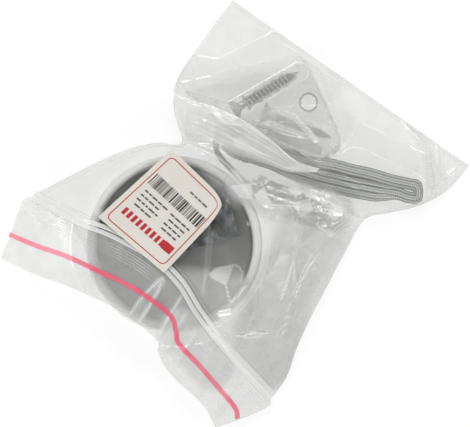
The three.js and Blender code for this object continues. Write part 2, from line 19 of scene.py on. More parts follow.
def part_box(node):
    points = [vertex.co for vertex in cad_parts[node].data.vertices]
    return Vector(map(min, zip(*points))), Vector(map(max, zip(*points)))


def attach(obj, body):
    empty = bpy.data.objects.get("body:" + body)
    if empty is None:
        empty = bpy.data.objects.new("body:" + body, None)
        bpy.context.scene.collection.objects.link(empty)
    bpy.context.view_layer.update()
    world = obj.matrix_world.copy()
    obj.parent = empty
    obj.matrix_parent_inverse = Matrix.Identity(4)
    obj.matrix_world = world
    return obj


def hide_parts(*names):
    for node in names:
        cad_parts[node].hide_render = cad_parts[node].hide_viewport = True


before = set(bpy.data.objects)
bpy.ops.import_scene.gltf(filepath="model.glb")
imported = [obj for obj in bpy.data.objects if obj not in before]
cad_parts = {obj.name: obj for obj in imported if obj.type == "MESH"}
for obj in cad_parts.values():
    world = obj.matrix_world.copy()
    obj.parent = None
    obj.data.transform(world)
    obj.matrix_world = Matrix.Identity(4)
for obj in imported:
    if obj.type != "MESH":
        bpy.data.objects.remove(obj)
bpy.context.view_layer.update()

# --- driving dimensions, in millimetres except where it says

FILM = 0.4
GAP = 0.3  # left free between pieces
FLOOR = FILM + GAP  # the height that the outer bag's contents lie at
COVER = 0.25  # from the top of what a film lies on to the film's middle
FRONT_FLOOR = FLOOR + 0.2  # the front film's lowest height
FRONT_LIFT = FILM + 0.5  # of the front film over the cup and the back film's wrap
BACK_LIFT = 0.2  # of the back film's wrap over the cup
WELD = 2.2  # width of the welded strip along the bag's sides
WELD_SLOPE = 2.8  # width over which a film comes down to the weld
WELD_HALF = 0.12  # from the weld's middle to each film
FRONT_LENGTH = 95.0  # of the front film, sealed edge to zip
BACK_LENGTH = 110.0  # of the back film, sealed edge to the cup's far side

CUP_R = 30.0
CUP_WALL = 2.6
CUP_BASE = 1.5
CUP_HEIGHT = 20.0
CUP_CENTRE = np.array([-11.0, -20.3])
CUP_TOP = FLOOR + CUP_HEIGHT
CUP_SCREW_HEIGHT = 11.0
GROMMET_TOP = CUP_BASE + 1.3
STRAP_ANGLE = math.radians(50.6)
STRAP_OFFSET = 4.6
STRAP_LENGTH = 44.0
STRAP_WIDTH = 16.0
STRAP_SHEET = 1.2
STRAP_TAB = 8.0
STRAP_HOLE_R = 4.6
STRAP_SLOT_R = 2.3
STRAP_SLOT_REACH = 3.0  # from the slot's middle to the centre of its round end

ROPE_R = 1.0
STOP_START = np.array([-20.4, 20, FLOOR + 2.1])
STOP_END = np.array([-28.9, 18.2, FLOOR + 2.1])
GRIPPER_START = np.array([3.6, 12.7, FLOOR + 4.4])
GRIPPER_ANGLE = math.radians(16)
GRIPPER_WAY = np.array([math.cos(GRIPPER_ANGLE), math.sin(GRIPPER_ANGLE), 0])
GRIPPER_R = 3.6
GRIPPER_LENGTH = 14.0
NUT_R = 4.0
TIP_REACH = GRIPPER_LENGTH + 11  # from the gripper's start to the rope's tip

INNER_FILM = 0.3
INNER_FLOOR = FLOOR + INNER_FILM + GAP
INNER_WIDTH, INNER_LENGTH = 48.0, 34.0  # across and along the inner bag's film, in its weld's pattern
HANG_HOLE = np.array([-1.2, 46.0])
HANG_HOLE_R = 3.0
SCREW_R = 2.0
SCREW_CORE_R = 0.66 * SCREW_R
SCREW_HEAD_R = 4.0
SCREW_PITCH = 1.45
THREAD_START = 4.4
CROSS_BLADE = (4.2, 0.8, 3.4)  # each of the two that cut the cross into a screw's head
PLUG_COLLAR_R = 2.7
PLUG_LENGTH = 20.0
PLUG_SLIT = (8, 0.8, 15)
PLUG_AXIS = INNER_FLOOR + PLUG_COLLAR_R + 0.1
UPPER_SCREW_AXIS = PLUG_AXIS + PLUG_COLLAR_R + SCREW_R + GAP

cup_low, cup_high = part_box("ceiling_cup")
SHIFT = np.array([
    (cup_low.x + cup_high.x) / 2 - CUP_CENTRE[0] / 1000,
    (cup_low.y + cup_high.y) / 2 - CUP_CENTRE[1] / 1000,
    0.0,
])

UP = np.array([0.0, 0.0, 1.0])


def level_way(angle):
    """The level direction at an angle from +X."""
    return np.array([math.cos(angle), math.sin(angle), 0.0])


def metres(points):
    """Points in millimetres on the bag's axes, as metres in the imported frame."""
    return np.asarray(points, float) / 1000 + SHIFT


def unit(vector):
    return np.asarray(vector, float) / np.linalg.norm(vector)


# --- camera, floor and light

VIEW_WIDTH = 162.9  # millimetres across the view, at the floor
VIEW_TURN = math.radians(35)
CAMERA_HEIGHT = 1500.0


# Each area light: name, azimuth and elevation in degrees, distance and size in metres, power in watts.
SOFTBOXES = [
    ("key", 125, 52, 1.3, (0.75, 0.3), 6.2),
    ("fill", 300, 48, 1.3, (0.7, 0.25), 5.1),
    ("rim_left", 215, 34, 1.2, (0.5, 0.14), 3.4),
    ("rim_right", 20, 42, 1.2, (0.6, 0.3), 2.0),
]


def add_camera():
    data = bpy.data.cameras.new("camera")
    data.sensor_width = 36
    data.lens = data.sensor_width * CAMERA_HEIGHT / VIEW_WIDTH
    data.clip_end = 20
    camera = bpy.data.objects.new("camera", data)
    camera.location = metres([0, 0, CAMERA_HEIGHT])
    camera.rotation_euler = (0, 0, VIEW_TURN)
    bpy.context.scene.collection.objects.link(camera)
    bpy.context.scene.camera = camera


def add_softbox(name, azimuth, elevation, distance, size, power):
    """An area light that faces the object."""
    data = bpy.data.lights.new(name, "AREA")
    data.shape = "RECTANGLE"
    data.size, data.size_y = size
    data.energy = power
    light = bpy.data.objects.new(name, data)
    across = math.radians(azimuth)
    rise = math.radians(elevation)
    away = np.array([math.cos(across) * math.cos(rise), math.sin(across) * math.cos(rise), math.sin(rise)])
    light.location = away * distance
    light.rotation_euler = Vector(away).to_track_quat("Z", "Y").to_euler()
    bpy.context.scene.collection.objects.link(light)


def add_world():
    """A pale studio: a grey ceiling, brighter walls lower down, and large soft patches of light and dark."""
    world = bpy.data.worlds.new("studio")
    bpy.context.scene.world = world
    studio = NodeTree(world)
    direction = studio.coordinates("Generated")
    parts = studio.node("ShaderNodeSeparateXYZ")
    studio.feed(parts.inputs[0], direction)
    ramp = studio.node("ShaderNodeValToRGB")
    studio.feed(ramp.inputs[0], parts.outputs["Z"])
    stops = ramp.color_ramp.elements
    stops[0].position, stops[0].color = 0.0, (0.95, 0.95, 0.95, 1)
    stops[1].position, stops[1].color = 1.0, (0.62, 0.625, 0.63, 1)
    for place_on, level in ((0.45, 0.9), (0.8, 0.72)):
        stops.new(place_on).color = (level, level, level, 1)
    patches = studio.node("ShaderNodeTexNoise")
    studio.feed(patches.inputs["Vector"], direction)
    patches.inputs["Scale"].default_value = 1.9
    patches.inputs["Detail"].default_value = 1
    contrast = studio.remap(patches.outputs["Fac"], 0.42, 0.56, 0.2, 1.25, interpolation="SMOOTHSTEP")
    room = studio.node("ShaderNodeVectorMath", operation="MULTIPLY")
    studio.feed(room.inputs[0], ramp.outputs[0])
    studio.feed(room.inputs[1], contrast)
    background = studio.nodes["Background"]
    studio.feed(background.inputs[0], room.outputs[0])
    background.inputs[1].default_value = 0.44


def add_floor():
    """A white table that glows a little, so that the ground comes out white behind the clear film."""
    bpy.ops.mesh.primitive_plane_add(size=4, location=(0, 0, -0.0001))
    floor = bpy.context.object
    floor.name = "floor"
    white = Shader("floor_white").set(
        base=(0.33, 0.33, 0.33, 1), rough=0.9, specular=0.0, glow_colour=(1, 1, 1, 1), glow=0.72)
    floor.data.materials.append(white.material)


# --- materials


class NodeTree:
    """The node tree of a material or a world, with short calls for the nodes used here."""

    def __init__(self, owner):
        owner.use_nodes = True
        self.nodes = owner.node_tree.nodes
        self.links = owner.node_tree.links

    def node(self, kind, **settings):
        node = self.nodes.new(kind)
        for key, value in settings.items():
            setattr(node, key, value)
        return node

    def feed(self, socket, value):
        """Sets a socket to a number or a colour, or links another node's output to it."""
        if isinstance(value, (int, float, tuple)):
            socket.default_value = value
        else:
            self.links.new(value, socket)

    def coordinates(self, kind="Object"):
        return self.node("ShaderNodeTexCoord").outputs[kind]

    def noise(self, size_mm, detail=3, vector=None):
        node = self.node("ShaderNodeTexNoise")
        self.feed(node.inputs["Vector"], vector or self.coordinates())
        node.inputs["Scale"].default_value = 1000 / size_mm
        node.inputs["Detail"].default_value = detail
        return node.outputs["Fac"]

    def attribute(self, name):
        return self.node("ShaderNodeAttribute", attribute_name=name).outputs["Fac"]

    def math(self, operation, first, second=0.0, clamp=False):
        node = self.node("ShaderNodeMath", operation=operation, use_clamp=clamp)
        self.feed(node.inputs[0], first)
        self.feed(node.inputs[1], second)
        return node.outputs[0]

    def remap(self, value, low, high, to_low, to_high, interpolation="LINEAR"):
        node = self.node("ShaderNodeMapRange", interpolation_type=interpolation)
        for socket, given in zip(node.inputs, (value, low, high, to_low, to_high)):
            self.feed(socket, given)
        return node.outputs[0]

    def blend(self, factor, first, second):
        node = self.node("ShaderNodeMix", data_type="RGBA")
        for socket, given in zip((node.inputs[0], *node.inputs[6:8]), (factor, first, second)):
            self.feed(socket, given)
        return node.outputs[2]

    def bump(self, height, distance_mm, below=None):
        node = self.node("ShaderNodeBump")
        node.inputs["Strength"].default_value = 1.0
        node.inputs["Distance"].default_value = distance_mm / 1000
        self.feed(node.inputs["Height"], height)
        if below is not None:
            self.feed(node.inputs["Normal"], below)
        return node.outputs[0]

    def mapped(self, **settings):
        """The object's own coordinates, moved, turned or scaled."""
        node = self.node("ShaderNodeMapping")
        self.feed(node.inputs["Vector"], self.coordinates())
        for key, value in settings.items():
            node.inputs[key].default_value = value
        return node.outputs[0]


class Shader(NodeTree):
    """A material with one main shader."""

    SOCKETS = {"base": "Base Color", "rough": "Roughness", "metal": "Metallic", "ior": "IOR", "alpha": "Alpha",
               "normal": "Normal", "specular": "Specular IOR Level", "glow_colour": "Emission Color",
               "glow": "Emission Strength"}

    def __init__(self, name):
        self.material = bpy.data.materials.new(name)
        super().__init__(self.material)
        self.main = self.nodes["Principled BSDF"]

    def set(self, **sockets):
        for key, value in sockets.items():
            self.feed(self.main.inputs[self.SOCKETS[key]], value)
        return self


def rgba(colour):
    return (*colour, 1.0)


def scaled(colour, share):
    return tuple(min(1.0, channel * share) for channel in colour)


def surface(name, colour, rough, mottle=0.06, grain_mm=0.5, grain_depth=0.01):
    """A solid surface with faint mottling, uneven roughness and a fine grain."""
    s = Shader(name)
    s.set(
        base=s.blend(s.noise(3.0), rgba(scaled(colour, 1 - mottle)), rgba(scaled(colour, 1 + mottle))),
        rough=s.remap(s.noise(1.2, detail=4), 0.3, 0.7, rough * 0.85, rough * 1.2),
        normal=s.bump(s.noise(grain_mm, detail=2), grain_depth),
    )
    return s.material


def film_material(name, light, dark, ior, rough):
    """Clear film: see-through with a haze that the mesh gives, denser where it's seen at a slant."""
    s = Shader(name)
    haze = s.math("MULTIPLY", s.attribute("haze"), s.remap(s.noise(8.0, detail=2), 0.3, 0.7, 0.9, 1.1))
    slant = s.node("ShaderNodeLayerWeight")
    slant.inputs[0].default_value = 0.3
    edge = s.math("MULTIPLY", s.math("POWER", slant.outputs["Facing"], 1.5), 0.55)
    waves = s.bump(s.noise(9.0, detail=2), 0.2)
    s.set(
        # The mesh's tone blends the film's colour from light to dark: it carries painted shade and painted highlights.
        base=s.blend(s.attribute("tone"), rgba(light), rgba(dark)),
        rough=rough,
        ior=ior,
        alpha=s.math("ADD", haze, edge, clamp=True),
        normal=s.bump(s.noise(1.3, detail=2), 0.015, below=waves),
    )
    return s.material


def rope_material():
    """Steel wire rope: fine wires that cross the lay of its strands, with painted shade on its sides and underside."""
    s = Shader("wire_rope")
    parts = s.node("ShaderNodeSeparateXYZ")
    s.feed(parts.inputs[0], s.coordinates("UV"))
    along, around = parts.outputs["X"], parts.outputs["Y"]
    turn = 2 * math.pi

    def wires(sign):
        phase = s.math("ADD", s.math("MULTIPLY", along, turn / 1.4), s.math("MULTIPLY", around, sign * turn * 3))
        return s.math("SINE", phase)

    weave = s.math("MULTIPLY", wires(1), wires(-1))
    colour = s.blend(s.remap(weave, -0.25, 0.2, 0, 1), rgba((0.24, 0.25, 0.245)), rgba((0.72, 0.73, 0.69)))
    tinted = s.blend(s.remap(s.noise(5.0), 0.35, 0.65, 0, 0.25), colour, rgba((0.42, 0.48, 0.51)))
    # Painted shade: the rope's top stays light and its sides and underside are painted dark.
    painted_side_shade = s.math("SINE", s.math("MULTIPLY", around, turn))
    s.set(
        base=s.blend(s.remap(painted_side_shade, 0.1, 0.95, 0.95, 0), tinted, rgba((0.05, 0.055, 0.055))),
        metal=0.25,
        rough=s.remap(s.noise(0.8), 0.3, 0.7, 0.42, 0.62),
        normal=s.bump(weave, 0.06),
    )
    return s.material


def metal_material(name, colour, rough, metal=1.0, dim=0.8, cloud_mm=4.0, dents=0.02):
    """Plated steel with short scratches along the strap and a cloudy patina, which on the strap goes nearly black as
    painted dark reflections.
    """
    s = Shader(name)
    scratch_width, scratch_length = 0.15, 3.0
    along = s.mapped(Rotation=(0, 0, STRAP_ANGLE), Scale=(scratch_width / scratch_length, 1, 1))
    scratches = s.noise(scratch_width, detail=2, vector=along)
    patina_and_painted_reflection = s.remap(s.noise(cloud_mm, detail=4), 0.35, 0.65, 0, 1)
    clouds = s.blend(patina_and_painted_reflection, rgba(scaled(colour, dim)), rgba(colour))
    s.set(
        # Thread roots are painted dark: painted shade in the groove.
        base=s.blend(s.attribute("groove"), clouds, rgba(scaled(colour, 0.26))),
        metal=metal,
        rough=s.remap(scratches, 0.3, 0.7, rough * 0.8, rough * 1.25),
        normal=s.bump(scratches, 0.004, below=s.bump(s.noise(6.0, detail=1), dents)),
    )
    return s.material


def cup_inside_material():
    """Bare spun metal: rings about the cup's axis."""
    s = Shader("cup_inside")
    centre = metres([*CUP_CENTRE, 0])
    rings = s.node("ShaderNodeTexWave", wave_type="RINGS", rings_direction="Z")
    s.feed(rings.inputs["Vector"], s.mapped(Location=(-centre[0], -centre[1], 0)))
    for key, value in (("Scale", 420), ("Distortion", 3), ("Detail", 3)):
        rings.inputs[key].default_value = value
    s.set(
        base=s.blend(s.noise(9.0), rgba((0.39, 0.395, 0.38)), rgba((0.56, 0.565, 0.545))),
        metal=0.6,
        rough=s.remap(rings.outputs["Fac"], 0, 1, 0.38, 0.5),
        normal=s.bump(rings.outputs["Fac"], 0.01),
    )
    return s.material


def paper_material():
    s = Shader("label_paper")
    s.set(
        base=s.blend(s.noise(8.0), rgba((0.71, 0.67, 0.60)), rgba((0.77, 0.74, 0.68))),
        rough=0.5,
        normal=s.bump(s.noise(0.4, detail=5), 0.012),
    )
    return s.material


FILM_WHITE = (0.89, 0.895, 0.865)
film = film_material("bag_film", FILM_WHITE, (0.24, 0.25, 0.236), ior=2.0, rough=0.18)
inner_film = film_material("inner_bag_film", FILM_WHITE, (0.24, 0.248, 0.236), ior=2.1, rough=0.14)
zip_plastic = film_material("zip_plastic", (0.96, 0.965, 0.95), (0.6, 0.6, 0.6), ior=1.7, rough=0.25)
pink_ink = film_material("pink_stripe", (0.96, 0.13, 0.24), (0.92, 0.40, 0.46), ior=1.6, rough=0.3)
white_paint = surface("white_powder_coat", (0.80, 0.80, 0.77), 0.42, mottle=0.02, grain_mm=0.35, grain_depth=0.02)
cup_inside = cup_inside_material()
nylon = surface("nylon", (0.74, 0.74, 0.70), 0.45, mottle=0.05, grain_mm=1.0)
grey_nylon = surface("grey_nylon", (0.30, 0.30, 0.29), 0.45, mottle=0.05, grain_mm=1.0)
# The hole's melted rim, painted dark grey: painted shade for the shadow and refraction at the punched edge.
melted_edge_painted_shade = surface("melted_edge_painted_shade", (0.30, 0.31, 0.29), 0.3)
zinc = metal_material("zinc_plate", (0.90, 0.91, 0.90), 0.24, metal=0.5)
# The strap's clouds go nearly black: painted dark reflections over a patina.
strap_steel = metal_material("strap_steel", (0.52, 0.57, 0.59), 0.1, dim=0.05, cloud_mm=5.0, dents=0.7)
nickel = metal_material("nickel_plate", (0.66, 0.66, 0.64), 0.25)
rope_steel = rope_material()
paper = paper_material()
red_ink = surface("red_ink", (0.50, 0.02, 0.035), 0.45, mottle=0.12, grain_mm=0.4)
black_ink = surface("black_ink", (0.025, 0.025, 0.025), 0.5, mottle=0.3, grain_mm=0.4)
grey_ink = surface("grey_ink", (0.10, 0.095, 0.09), 0.5, mottle=0.3, grain_mm=0.3)

# --- mesh helpers


@contextmanager
def edited(mesh):
    """The mesh as an editable one, written back when the block ends."""
    work = bmesh.new()
    work.from_mesh(mesh)
    yield work
    work.to_mesh(mesh)
    work.free()


def shade(mesh, angle):
    """Smooth shading, with the edges sharp that turn by more than the angle in degrees."""
    mesh.polygons.foreach_set("use_smooth", [True] * len(mesh.polygons))
    mesh.set_sharp_from_angle(angle=math.radians(angle))


def linked(name, points, faces, material):
    """An object in the scene from points in millimetres."""
    mesh = bpy.data.meshes.new(name)
    mesh.from_pydata(metres(points).tolist(), [], faces)
    mesh.materials.append(material)
    obj = bpy.data.objects.new(name, mesh)
    bpy.context.scene.collection.objects.link(obj)
    return obj


def mesh_object(name, points, faces, material, smooth=40):
    """The same, with points that meet welded together, and smooth shading up to an angle in degrees."""
    obj = linked(name, points, faces, material)
    with edited(obj.data) as work:
        bmesh.ops.remove_doubles(work, verts=work.verts, dist=2e-6)
    shade(obj.data, smooth)
    return obj


def value_points(obj, key, values):
    """Gives each point of the mesh a number that its material reads."""
    layer = obj.data.attributes.new(key, "FLOAT", "POINT")
    layer.data.foreach_set("value", values.astype(np.float32))


def place(obj, slot, *replaced, body="packed_kit"):
    """The piece rides on a body and replaces the CAD nodes given; `slot` is not used."""
    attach(obj, body)
    if replaced:
        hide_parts(*replaced)
    return obj


def circle(count):
    """Angles evenly spaced round a circle."""
    return np.linspace(0, 2 * np.pi, count, endpoint=False)


def grid_faces(rows, columns, around=False, first=0):
    """Quads of a grid of points, row by row; `around` joins the last column to the first."""
    row, column = np.meshgrid(np.arange(rows - 1), np.arange(columns if around else columns - 1), indexing="ij")
    following = (column + 1) % columns
    corners = [row * columns + column, row * columns + following,
               (row + 1) * columns + following, (row + 1) * columns + column]
    return (np.stack([c.ravel() for c in corners], 1) + first).tolist()


def sheet_faces(rows, columns):
    """The same quads, facing up where the rows run towards -Y and the columns towards +X."""
    return [face[::-1] for face in grid_faces(rows, columns)]


def axes_along(direction):
    """Three axes whose third points along the direction."""
    third = unit(direction)
    side = np.cross(UP, third)
    first = unit(side) if np.linalg.norm(side) > 1e-6 else np.array([1.0, 0, 0])
    return np.array([first, np.cross(third, first), third])


def eased(profile, ease=0.12):
    """The profile with each sharp corner cut into a small round."""
    closed = profile[0] == profile[-1]
    points = [np.array(p, float) for p in (profile[:-1] if closed else profile)]
    result = []
    for i, point in enumerate(points):
        if not closed and i in (0, len(points) - 1):
            result.append(point)
            continue
        before, after = points[i - 1] - point, points[(i + 1) % len(points)] - point
        reach = min(ease, 0.4 * np.linalg.norm(before), 0.4 * np.linalg.norm(after))
        start, end = point + unit(before) * reach, point + unit(after) * reach
        for t in (0.0, 0.33, 0.67, 1.0):
            result.append((1 - t) ** 2 * start + 2 * t * (1 - t) * point + t * t * end)
    if closed:
        result.append(result[0])
    return result


def turned(profile, origin, direction, segments=64, ease=0.12, radius=None):
    """Points and faces of a solid turned about an axis, from [radius, height] pairs."""
    rim = np.array(eased(profile, ease) if ease else profile, float)
    angle = circle(segments)
    r = rim[:, :1] * np.ones_like(angle)
    if radius is not None:
        r = radius(r, rim[:, 1:], angle)
    local = np.stack([r * np.cos(angle), r * np.sin(angle), rim[:, 1:] * np.ones_like(angle)], -1)
    points = local.reshape(-1, 3) @ axes_along(direction) + np.asarray(origin, float)
    return points, grid_faces(len(rim), segments, around=True)


def turned_piece(name, profile, origin, direction, material, **options):
    points, faces = turned(profile, origin, direction, **options)
    return mesh_object(name, points, faces, material)


def block(centre, size, axes):
    """Points and faces of a box; `axes` are the directions of its sides."""
    corners = np.array([[x, y, z] for x in (-0.5, 0.5) for y in (-0.5, 0.5) for z in (-0.5, 0.5)])
    points = (corners * size) @ np.asarray(axes) + centre
    return points, [(0, 1, 3, 2), (4, 6, 7, 5), (0, 4, 5, 1), (2, 3, 7, 6), (0, 2, 6, 4), (1, 5, 7, 3)]


def merge(*parts):
    """Several sets of points and faces as one."""
    points, faces, first = [], [], 0
    for part_points, part_faces in parts:
        points.append(np.asarray(part_points))
        faces += [[index + first for index in face] for face in part_faces]
        first += len(part_points)
    return np.concatenate(points), faces


def applied(obj, smooth=40):
    """The object's modifiers worked into its mesh."""
    graph = bpy.context.evaluated_depsgraph_get()
    mesh = bpy.data.meshes.new_from_object(obj.evaluated_get(graph))
    obj.modifiers.clear()
    obj.data = mesh
    shade(mesh, smooth)
    return obj


def face_outwards(obj):
    with edited(obj.data) as work:
        bmesh.ops.recalc_face_normals(work, faces=work.faces)
    return obj


def combined(obj, operation, *others):
    """The object with other objects added to it or cut out of it, which uses them up."""
    for other in others:
        modifier = obj.modifiers.new("combined", "BOOLEAN")
        modifier.operation = operation
        modifier.solver = "EXACT"
        modifier.object = other
    bpy.context.view_layer.update()
    applied(obj)
    for other in others:
        bpy.data.objects.remove(other)
    return obj


def carve(obj, *shapes):
    """Cuts closed shapes, each of points and faces, out of the object."""
    material = obj.data.materials[0]
    return combined(obj, "DIFFERENCE", *(face_outwards(mesh_object("cutter", *shape, material)) for shape in shapes))


def bevelled(obj, width):
    modifier = obj.modifiers.new("bevel", "BEVEL")
    modifier.width = width / 1000
    modifier.segments = 3
    modifier.limit_method = "ANGLE"
    modifier.angle_limit = math.radians(35)
    return applied(obj)


def disc(radius, low, high):
    """The profile of a plain round rod, for `turned`."""
    return [(0, low), (radius, low), (radius, high), (0, high)]


def threaded(length, radius, core, pitch, origin, direction, lead_in=1.5, taper=0.0, segments=40):
    """A rod with a helical thread; `taper` is the length over which its tip comes to a point."""
    heights = np.arange(0, length + 1e-6, pitch / 9)
    angle = circle(segments)
    z, a = np.meshgrid(heights, angle, indexing="ij")
    phase = (z / pitch - a / (2 * np.pi)) % 1
    ridge = np.maximum(0, 1 - np.abs(phase - 0.5) / 0.32)
    point = np.clip((length - z) / taper, 0.0, 1) ** 0.8 if taper else np.ones_like(z)
    r = (core + (radius - core) * ridge * smoothstep(z, 0, lead_in)) * point
    local = np.stack([r * np.cos(a), r * np.sin(a), z], -1)
    local = np.concatenate([local[:1] * UP, local, local[-1:] * UP])
    points = local.reshape(-1, 3) @ axes_along(direction) + np.asarray(origin, float)
    return points, grid_faces(len(local), segments, around=True)


def unit_rows(vectors):
    return vectors / np.linalg.norm(vectors, axis=1, keepdims=True)


def lengths_along(line):
    """How far along a line each of its points lies."""
    return np.concatenate([[0], np.cumsum(np.linalg.norm(np.diff(line, axis=0), axis=1))])


def evenly(line, count):
    """Points evenly spaced along a line."""
    run = lengths_along(line)
    even = np.linspace(0, run[-1], count)
    return np.stack([np.interp(even, run, column) for column in line.T], 1)


# --- the bags' outlines, and what holds their films up


def spline(*points):
    """A uniform Catmull-Rom curve through the points, as a function from shares to points."""
    knots = np.array(points, float)
    last = len(knots) - 1

    def at(share):
        place_on = np.clip(np.asarray(share, float), 0, 1) * last
        index = np.minimum(place_on.astype(int), last - 1)
        t = (place_on - index)[..., None]
        p0, p1 = knots[np.maximum(index - 1, 0)], knots[index]
        p2, p3 = knots[index + 1], knots[np.minimum(index + 2, last)]
        v1, v2 = (p2 - p0) / 2, (p3 - p1) / 2
        return (2 * p1 - 2 * p2 + v1 + v2) * t**3 + (3 * p2 - 3 * p1 - 2 * v1 - v2) * t**2 + v1 * t + p1

    return at


SEALED_EDGE = spline((-43, 60), (7, 60), (57, 60))
LEFT_SIDE = spline(
    (-43, 60), (-43.5, 43), (-43, 27), (-38, 17.5), (-29, 9.5), (-36, 4.5), (-43.5, -4), (-51, -16.5), (-60.5, -34.5))
RIGHT_SIDE = spline(
    (57, 60), (55.4, 48), (50, 38), (43, 30.2), (37.9, 23.6), (39, 10), (40.6, -3), (42.2, -15.5), (44.2, -26),
    (47, -36), (47, -44.5))
ZIP_LINE = spline(
    (-60.5, -34.5), (-43, -32.5), (-30, -29.5), (-15, -28), (-2, -30), (10, -35), (25, -39.5), (47, -44.5))
MOUTH_EDGE = spline(
    (-57.5, -59), (-50.5, -57.8), (-43, -56.2), (-32.6, -53.1), (-22.9, -51.2), (-15, -49.9), (-9.4, -49.5),
    (-2.8, -49.9), (3.8, -51.2), (5.4, -53.8), (11, -56.9), (17.1, -58.5), (22.5, -59.2), (29.9, -60.8),
    (37, -64.5))
WRAP_LINE = spline(
    (-60.5, -35), (-47, -36.5), (-37.6, -37.8), (-26, -47), (-11, -50.8), (4, -47), (15.6, -37.8), (28, -40.5),
    (47, -45))
LIP_LEFT = spline((-60.5, -35.5), (-62.5, -39), (-59.5, -49), (-57.5, -59))
LIP_RIGHT = spline((47, -45.5), (47.5, -48.5), (42.5, -57), (37, -64.5))
INNER_BOTTOM = spline((-25, 23), (-5, 26.6), (14.4, 31.3))
INNER_TOP = spline((-38.5, 24.6), (-25, 40.8), (-10.6, 57.6))
INNER_LEFT = spline((-25, 23), (-32, 23.8), (-38.5, 24.6))
INNER_RIGHT = spline((14.4, 31.3), (16.4, 40.6), (6.4, 48), (-10.6, 57.6))


def mix(a, b, t):
    return a + (b - a) * t


def patch(start, end, left, right):
    """A surface between four sides: u goes across, v from `start` to `end`."""
    corners = start(0.0), start(1.0), end(0.0), end(1.0)

    def at(u, v):
        across, along = np.asarray(u)[..., None], np.asarray(v)[..., None]
        straight = mix(mix(corners[0], corners[1], across), mix(corners[2], corners[3], across), along)
        return mix(start(u), end(u), along) + mix(left(v), right(v), across) - straight

    return at


def smoothstep(x, low=0.0, high=1.0):
    t = np.clip((x - low) / (high - low), 0, 1)
    return t * t * (3 - 2 * t)


def off_line(points, a, b):
    """Distance from a stretch between two points, and the share of the way along it."""
    a, run = np.asarray(a, float), np.asarray(b, float) - np.asarray(a, float)
    share = np.clip(((points - a) @ run) / max(run @ run, 1e-9), 0, 1)
    return np.linalg.norm(points - a - share[..., None] * run, axis=-1), share


def stretch(a, b, radius, height_a, height_b=None, slope=0.9):
    """A support under a film: a ridge from a to b, flat to its radius, that falls away by the slope."""
    return a, b, radius, height_a, height_a if height_b is None else height_b, slope


def support_height(support, points):
    a, b, radius, height_a, height_b, slope = support
    away, share = off_line(points, a, b)
    return mix(height_a, height_b, share) - slope * np.maximum(0, away - radius)


def drape(supports, floor, points, softness=0.6):
    """The height of a film that lies on all its supports, rounded where they meet."""
    heights = np.stack([np.full(points.shape[:-1], float(floor))] + [support_height(s, points) for s in supports])
    top = heights.max(0)
    total = np.exp((heights - top) / softness).sum(0)
    return top + softness * np.log((total + 1) / 2)


SCREWS = [
    ((-21, 28.6), (-10, 52.8), UPPER_SCREW_AXIS, UPPER_SCREW_AXIS - 0.8),
    ((-12.2, 33.8), (12.4, 40.6), INNER_FLOOR + SCREW_HEAD_R + 0.1, INNER_FLOOR + SCREW_R + 0.3),
]
PLUGS = [((-7.3, 30.4), (12.2, 34.8)), ((-18.9, 33.2), (-10.6, 51.4))]


def fixing_supports(lift):
    top = PLUG_AXIS + PLUG_COLLAR_R + 0.3
    return [
        *(stretch(head, tip, 3.2, z_head + SCREW_HEAD_R * 0.95 + lift, z_tip + SCREW_R + 0.8 + lift)
          for head, tip, z_head, z_tip in SCREWS),
        *(stretch(head, tip, 3.0, top + lift) for head, tip in PLUGS),
    ]


NEAR_CUP = stretch(CUP_CENTRE, CUP_CENTRE, CUP_R + 2, CUP_TOP + GAP, slope=0.6)
NEAR_HANK = stretch((34, 35), (44, 41), 8.5, 5.5)
OUTER_SUPPORTS = [
    NEAR_CUP,
    *fixing_supports(1.6),
    stretch((-13, 19.6), (3, 22.6), 5.8, 8.0, 7.2),
    stretch((3, 22.6), (30, 31.5), 5.6, 6.9, 6.0),
    stretch((30, 31.5), (45, 38.6), 5.6, 6.0, 8.1),
    stretch((24, 38), (44.5, 41.5), 5.6, 8.0, 8.1),
    stretch((8, 28.4), (24, 37), 3.4, 8.0),
    stretch((-5.4, 10.1), (25.6, 19), 5.2, 10.2),
    stretch((-20.4, 20), (-28.9, 18.2), 2.6, 5.6),
    stretch((-19.4, 21), (-18.6, 15.6), 2.4, 7.6, 5.4),
]


def seam_height(points):
    """The middle of the welded edge: raised where the cup or the hank holds the films up."""
    raised = np.maximum(0.75 * support_height(NEAR_CUP, points), support_height(NEAR_HANK, points))
    return np.maximum(FRONT_FLOOR, raised)


def above_cup(points, radius=CUP_R + 2):
    """The height of a film stretched over the cup alone."""
    over = stretch(CUP_CENTRE, CUP_CENTRE, radius, CUP_TOP + GAP, slope=0.6)
    return np.maximum(2 * FLOOR, support_height(over, points))


# --- how the film is crumpled

# The crumples are worked out on a square raster over the whole bag, and read between its points.
RASTER_LOW = np.array([-68.0, -70.0])
RASTER_STEP = 0.5
RASTER_SIZE = 270
FAR = 1e9  # more than any distance here


def raster_points():
    line = np.arange(RASTER_SIZE) * RASTER_STEP
    x, y = np.meshgrid(line + RASTER_LOW[0], line + RASTER_LOW[1], indexing="ij")
    return np.stack([x, y], -1)


def sampler(values):
    """A function that reads a raster of values at any points."""

    def at(points):
        spot = np.clip((points - RASTER_LOW) / RASTER_STEP, 0, RASTER_SIZE - 1.001)
        index = spot.astype(int)
        t = spot - index
        i, j = index[..., 0], index[..., 1]
        near = mix(values[i, j], values[i + 1, j], t[..., 0])
        far = mix(values[i, j + 1], values[i + 1, j + 1], t[..., 0])
        return mix(near, far, t[..., 1])

    return at


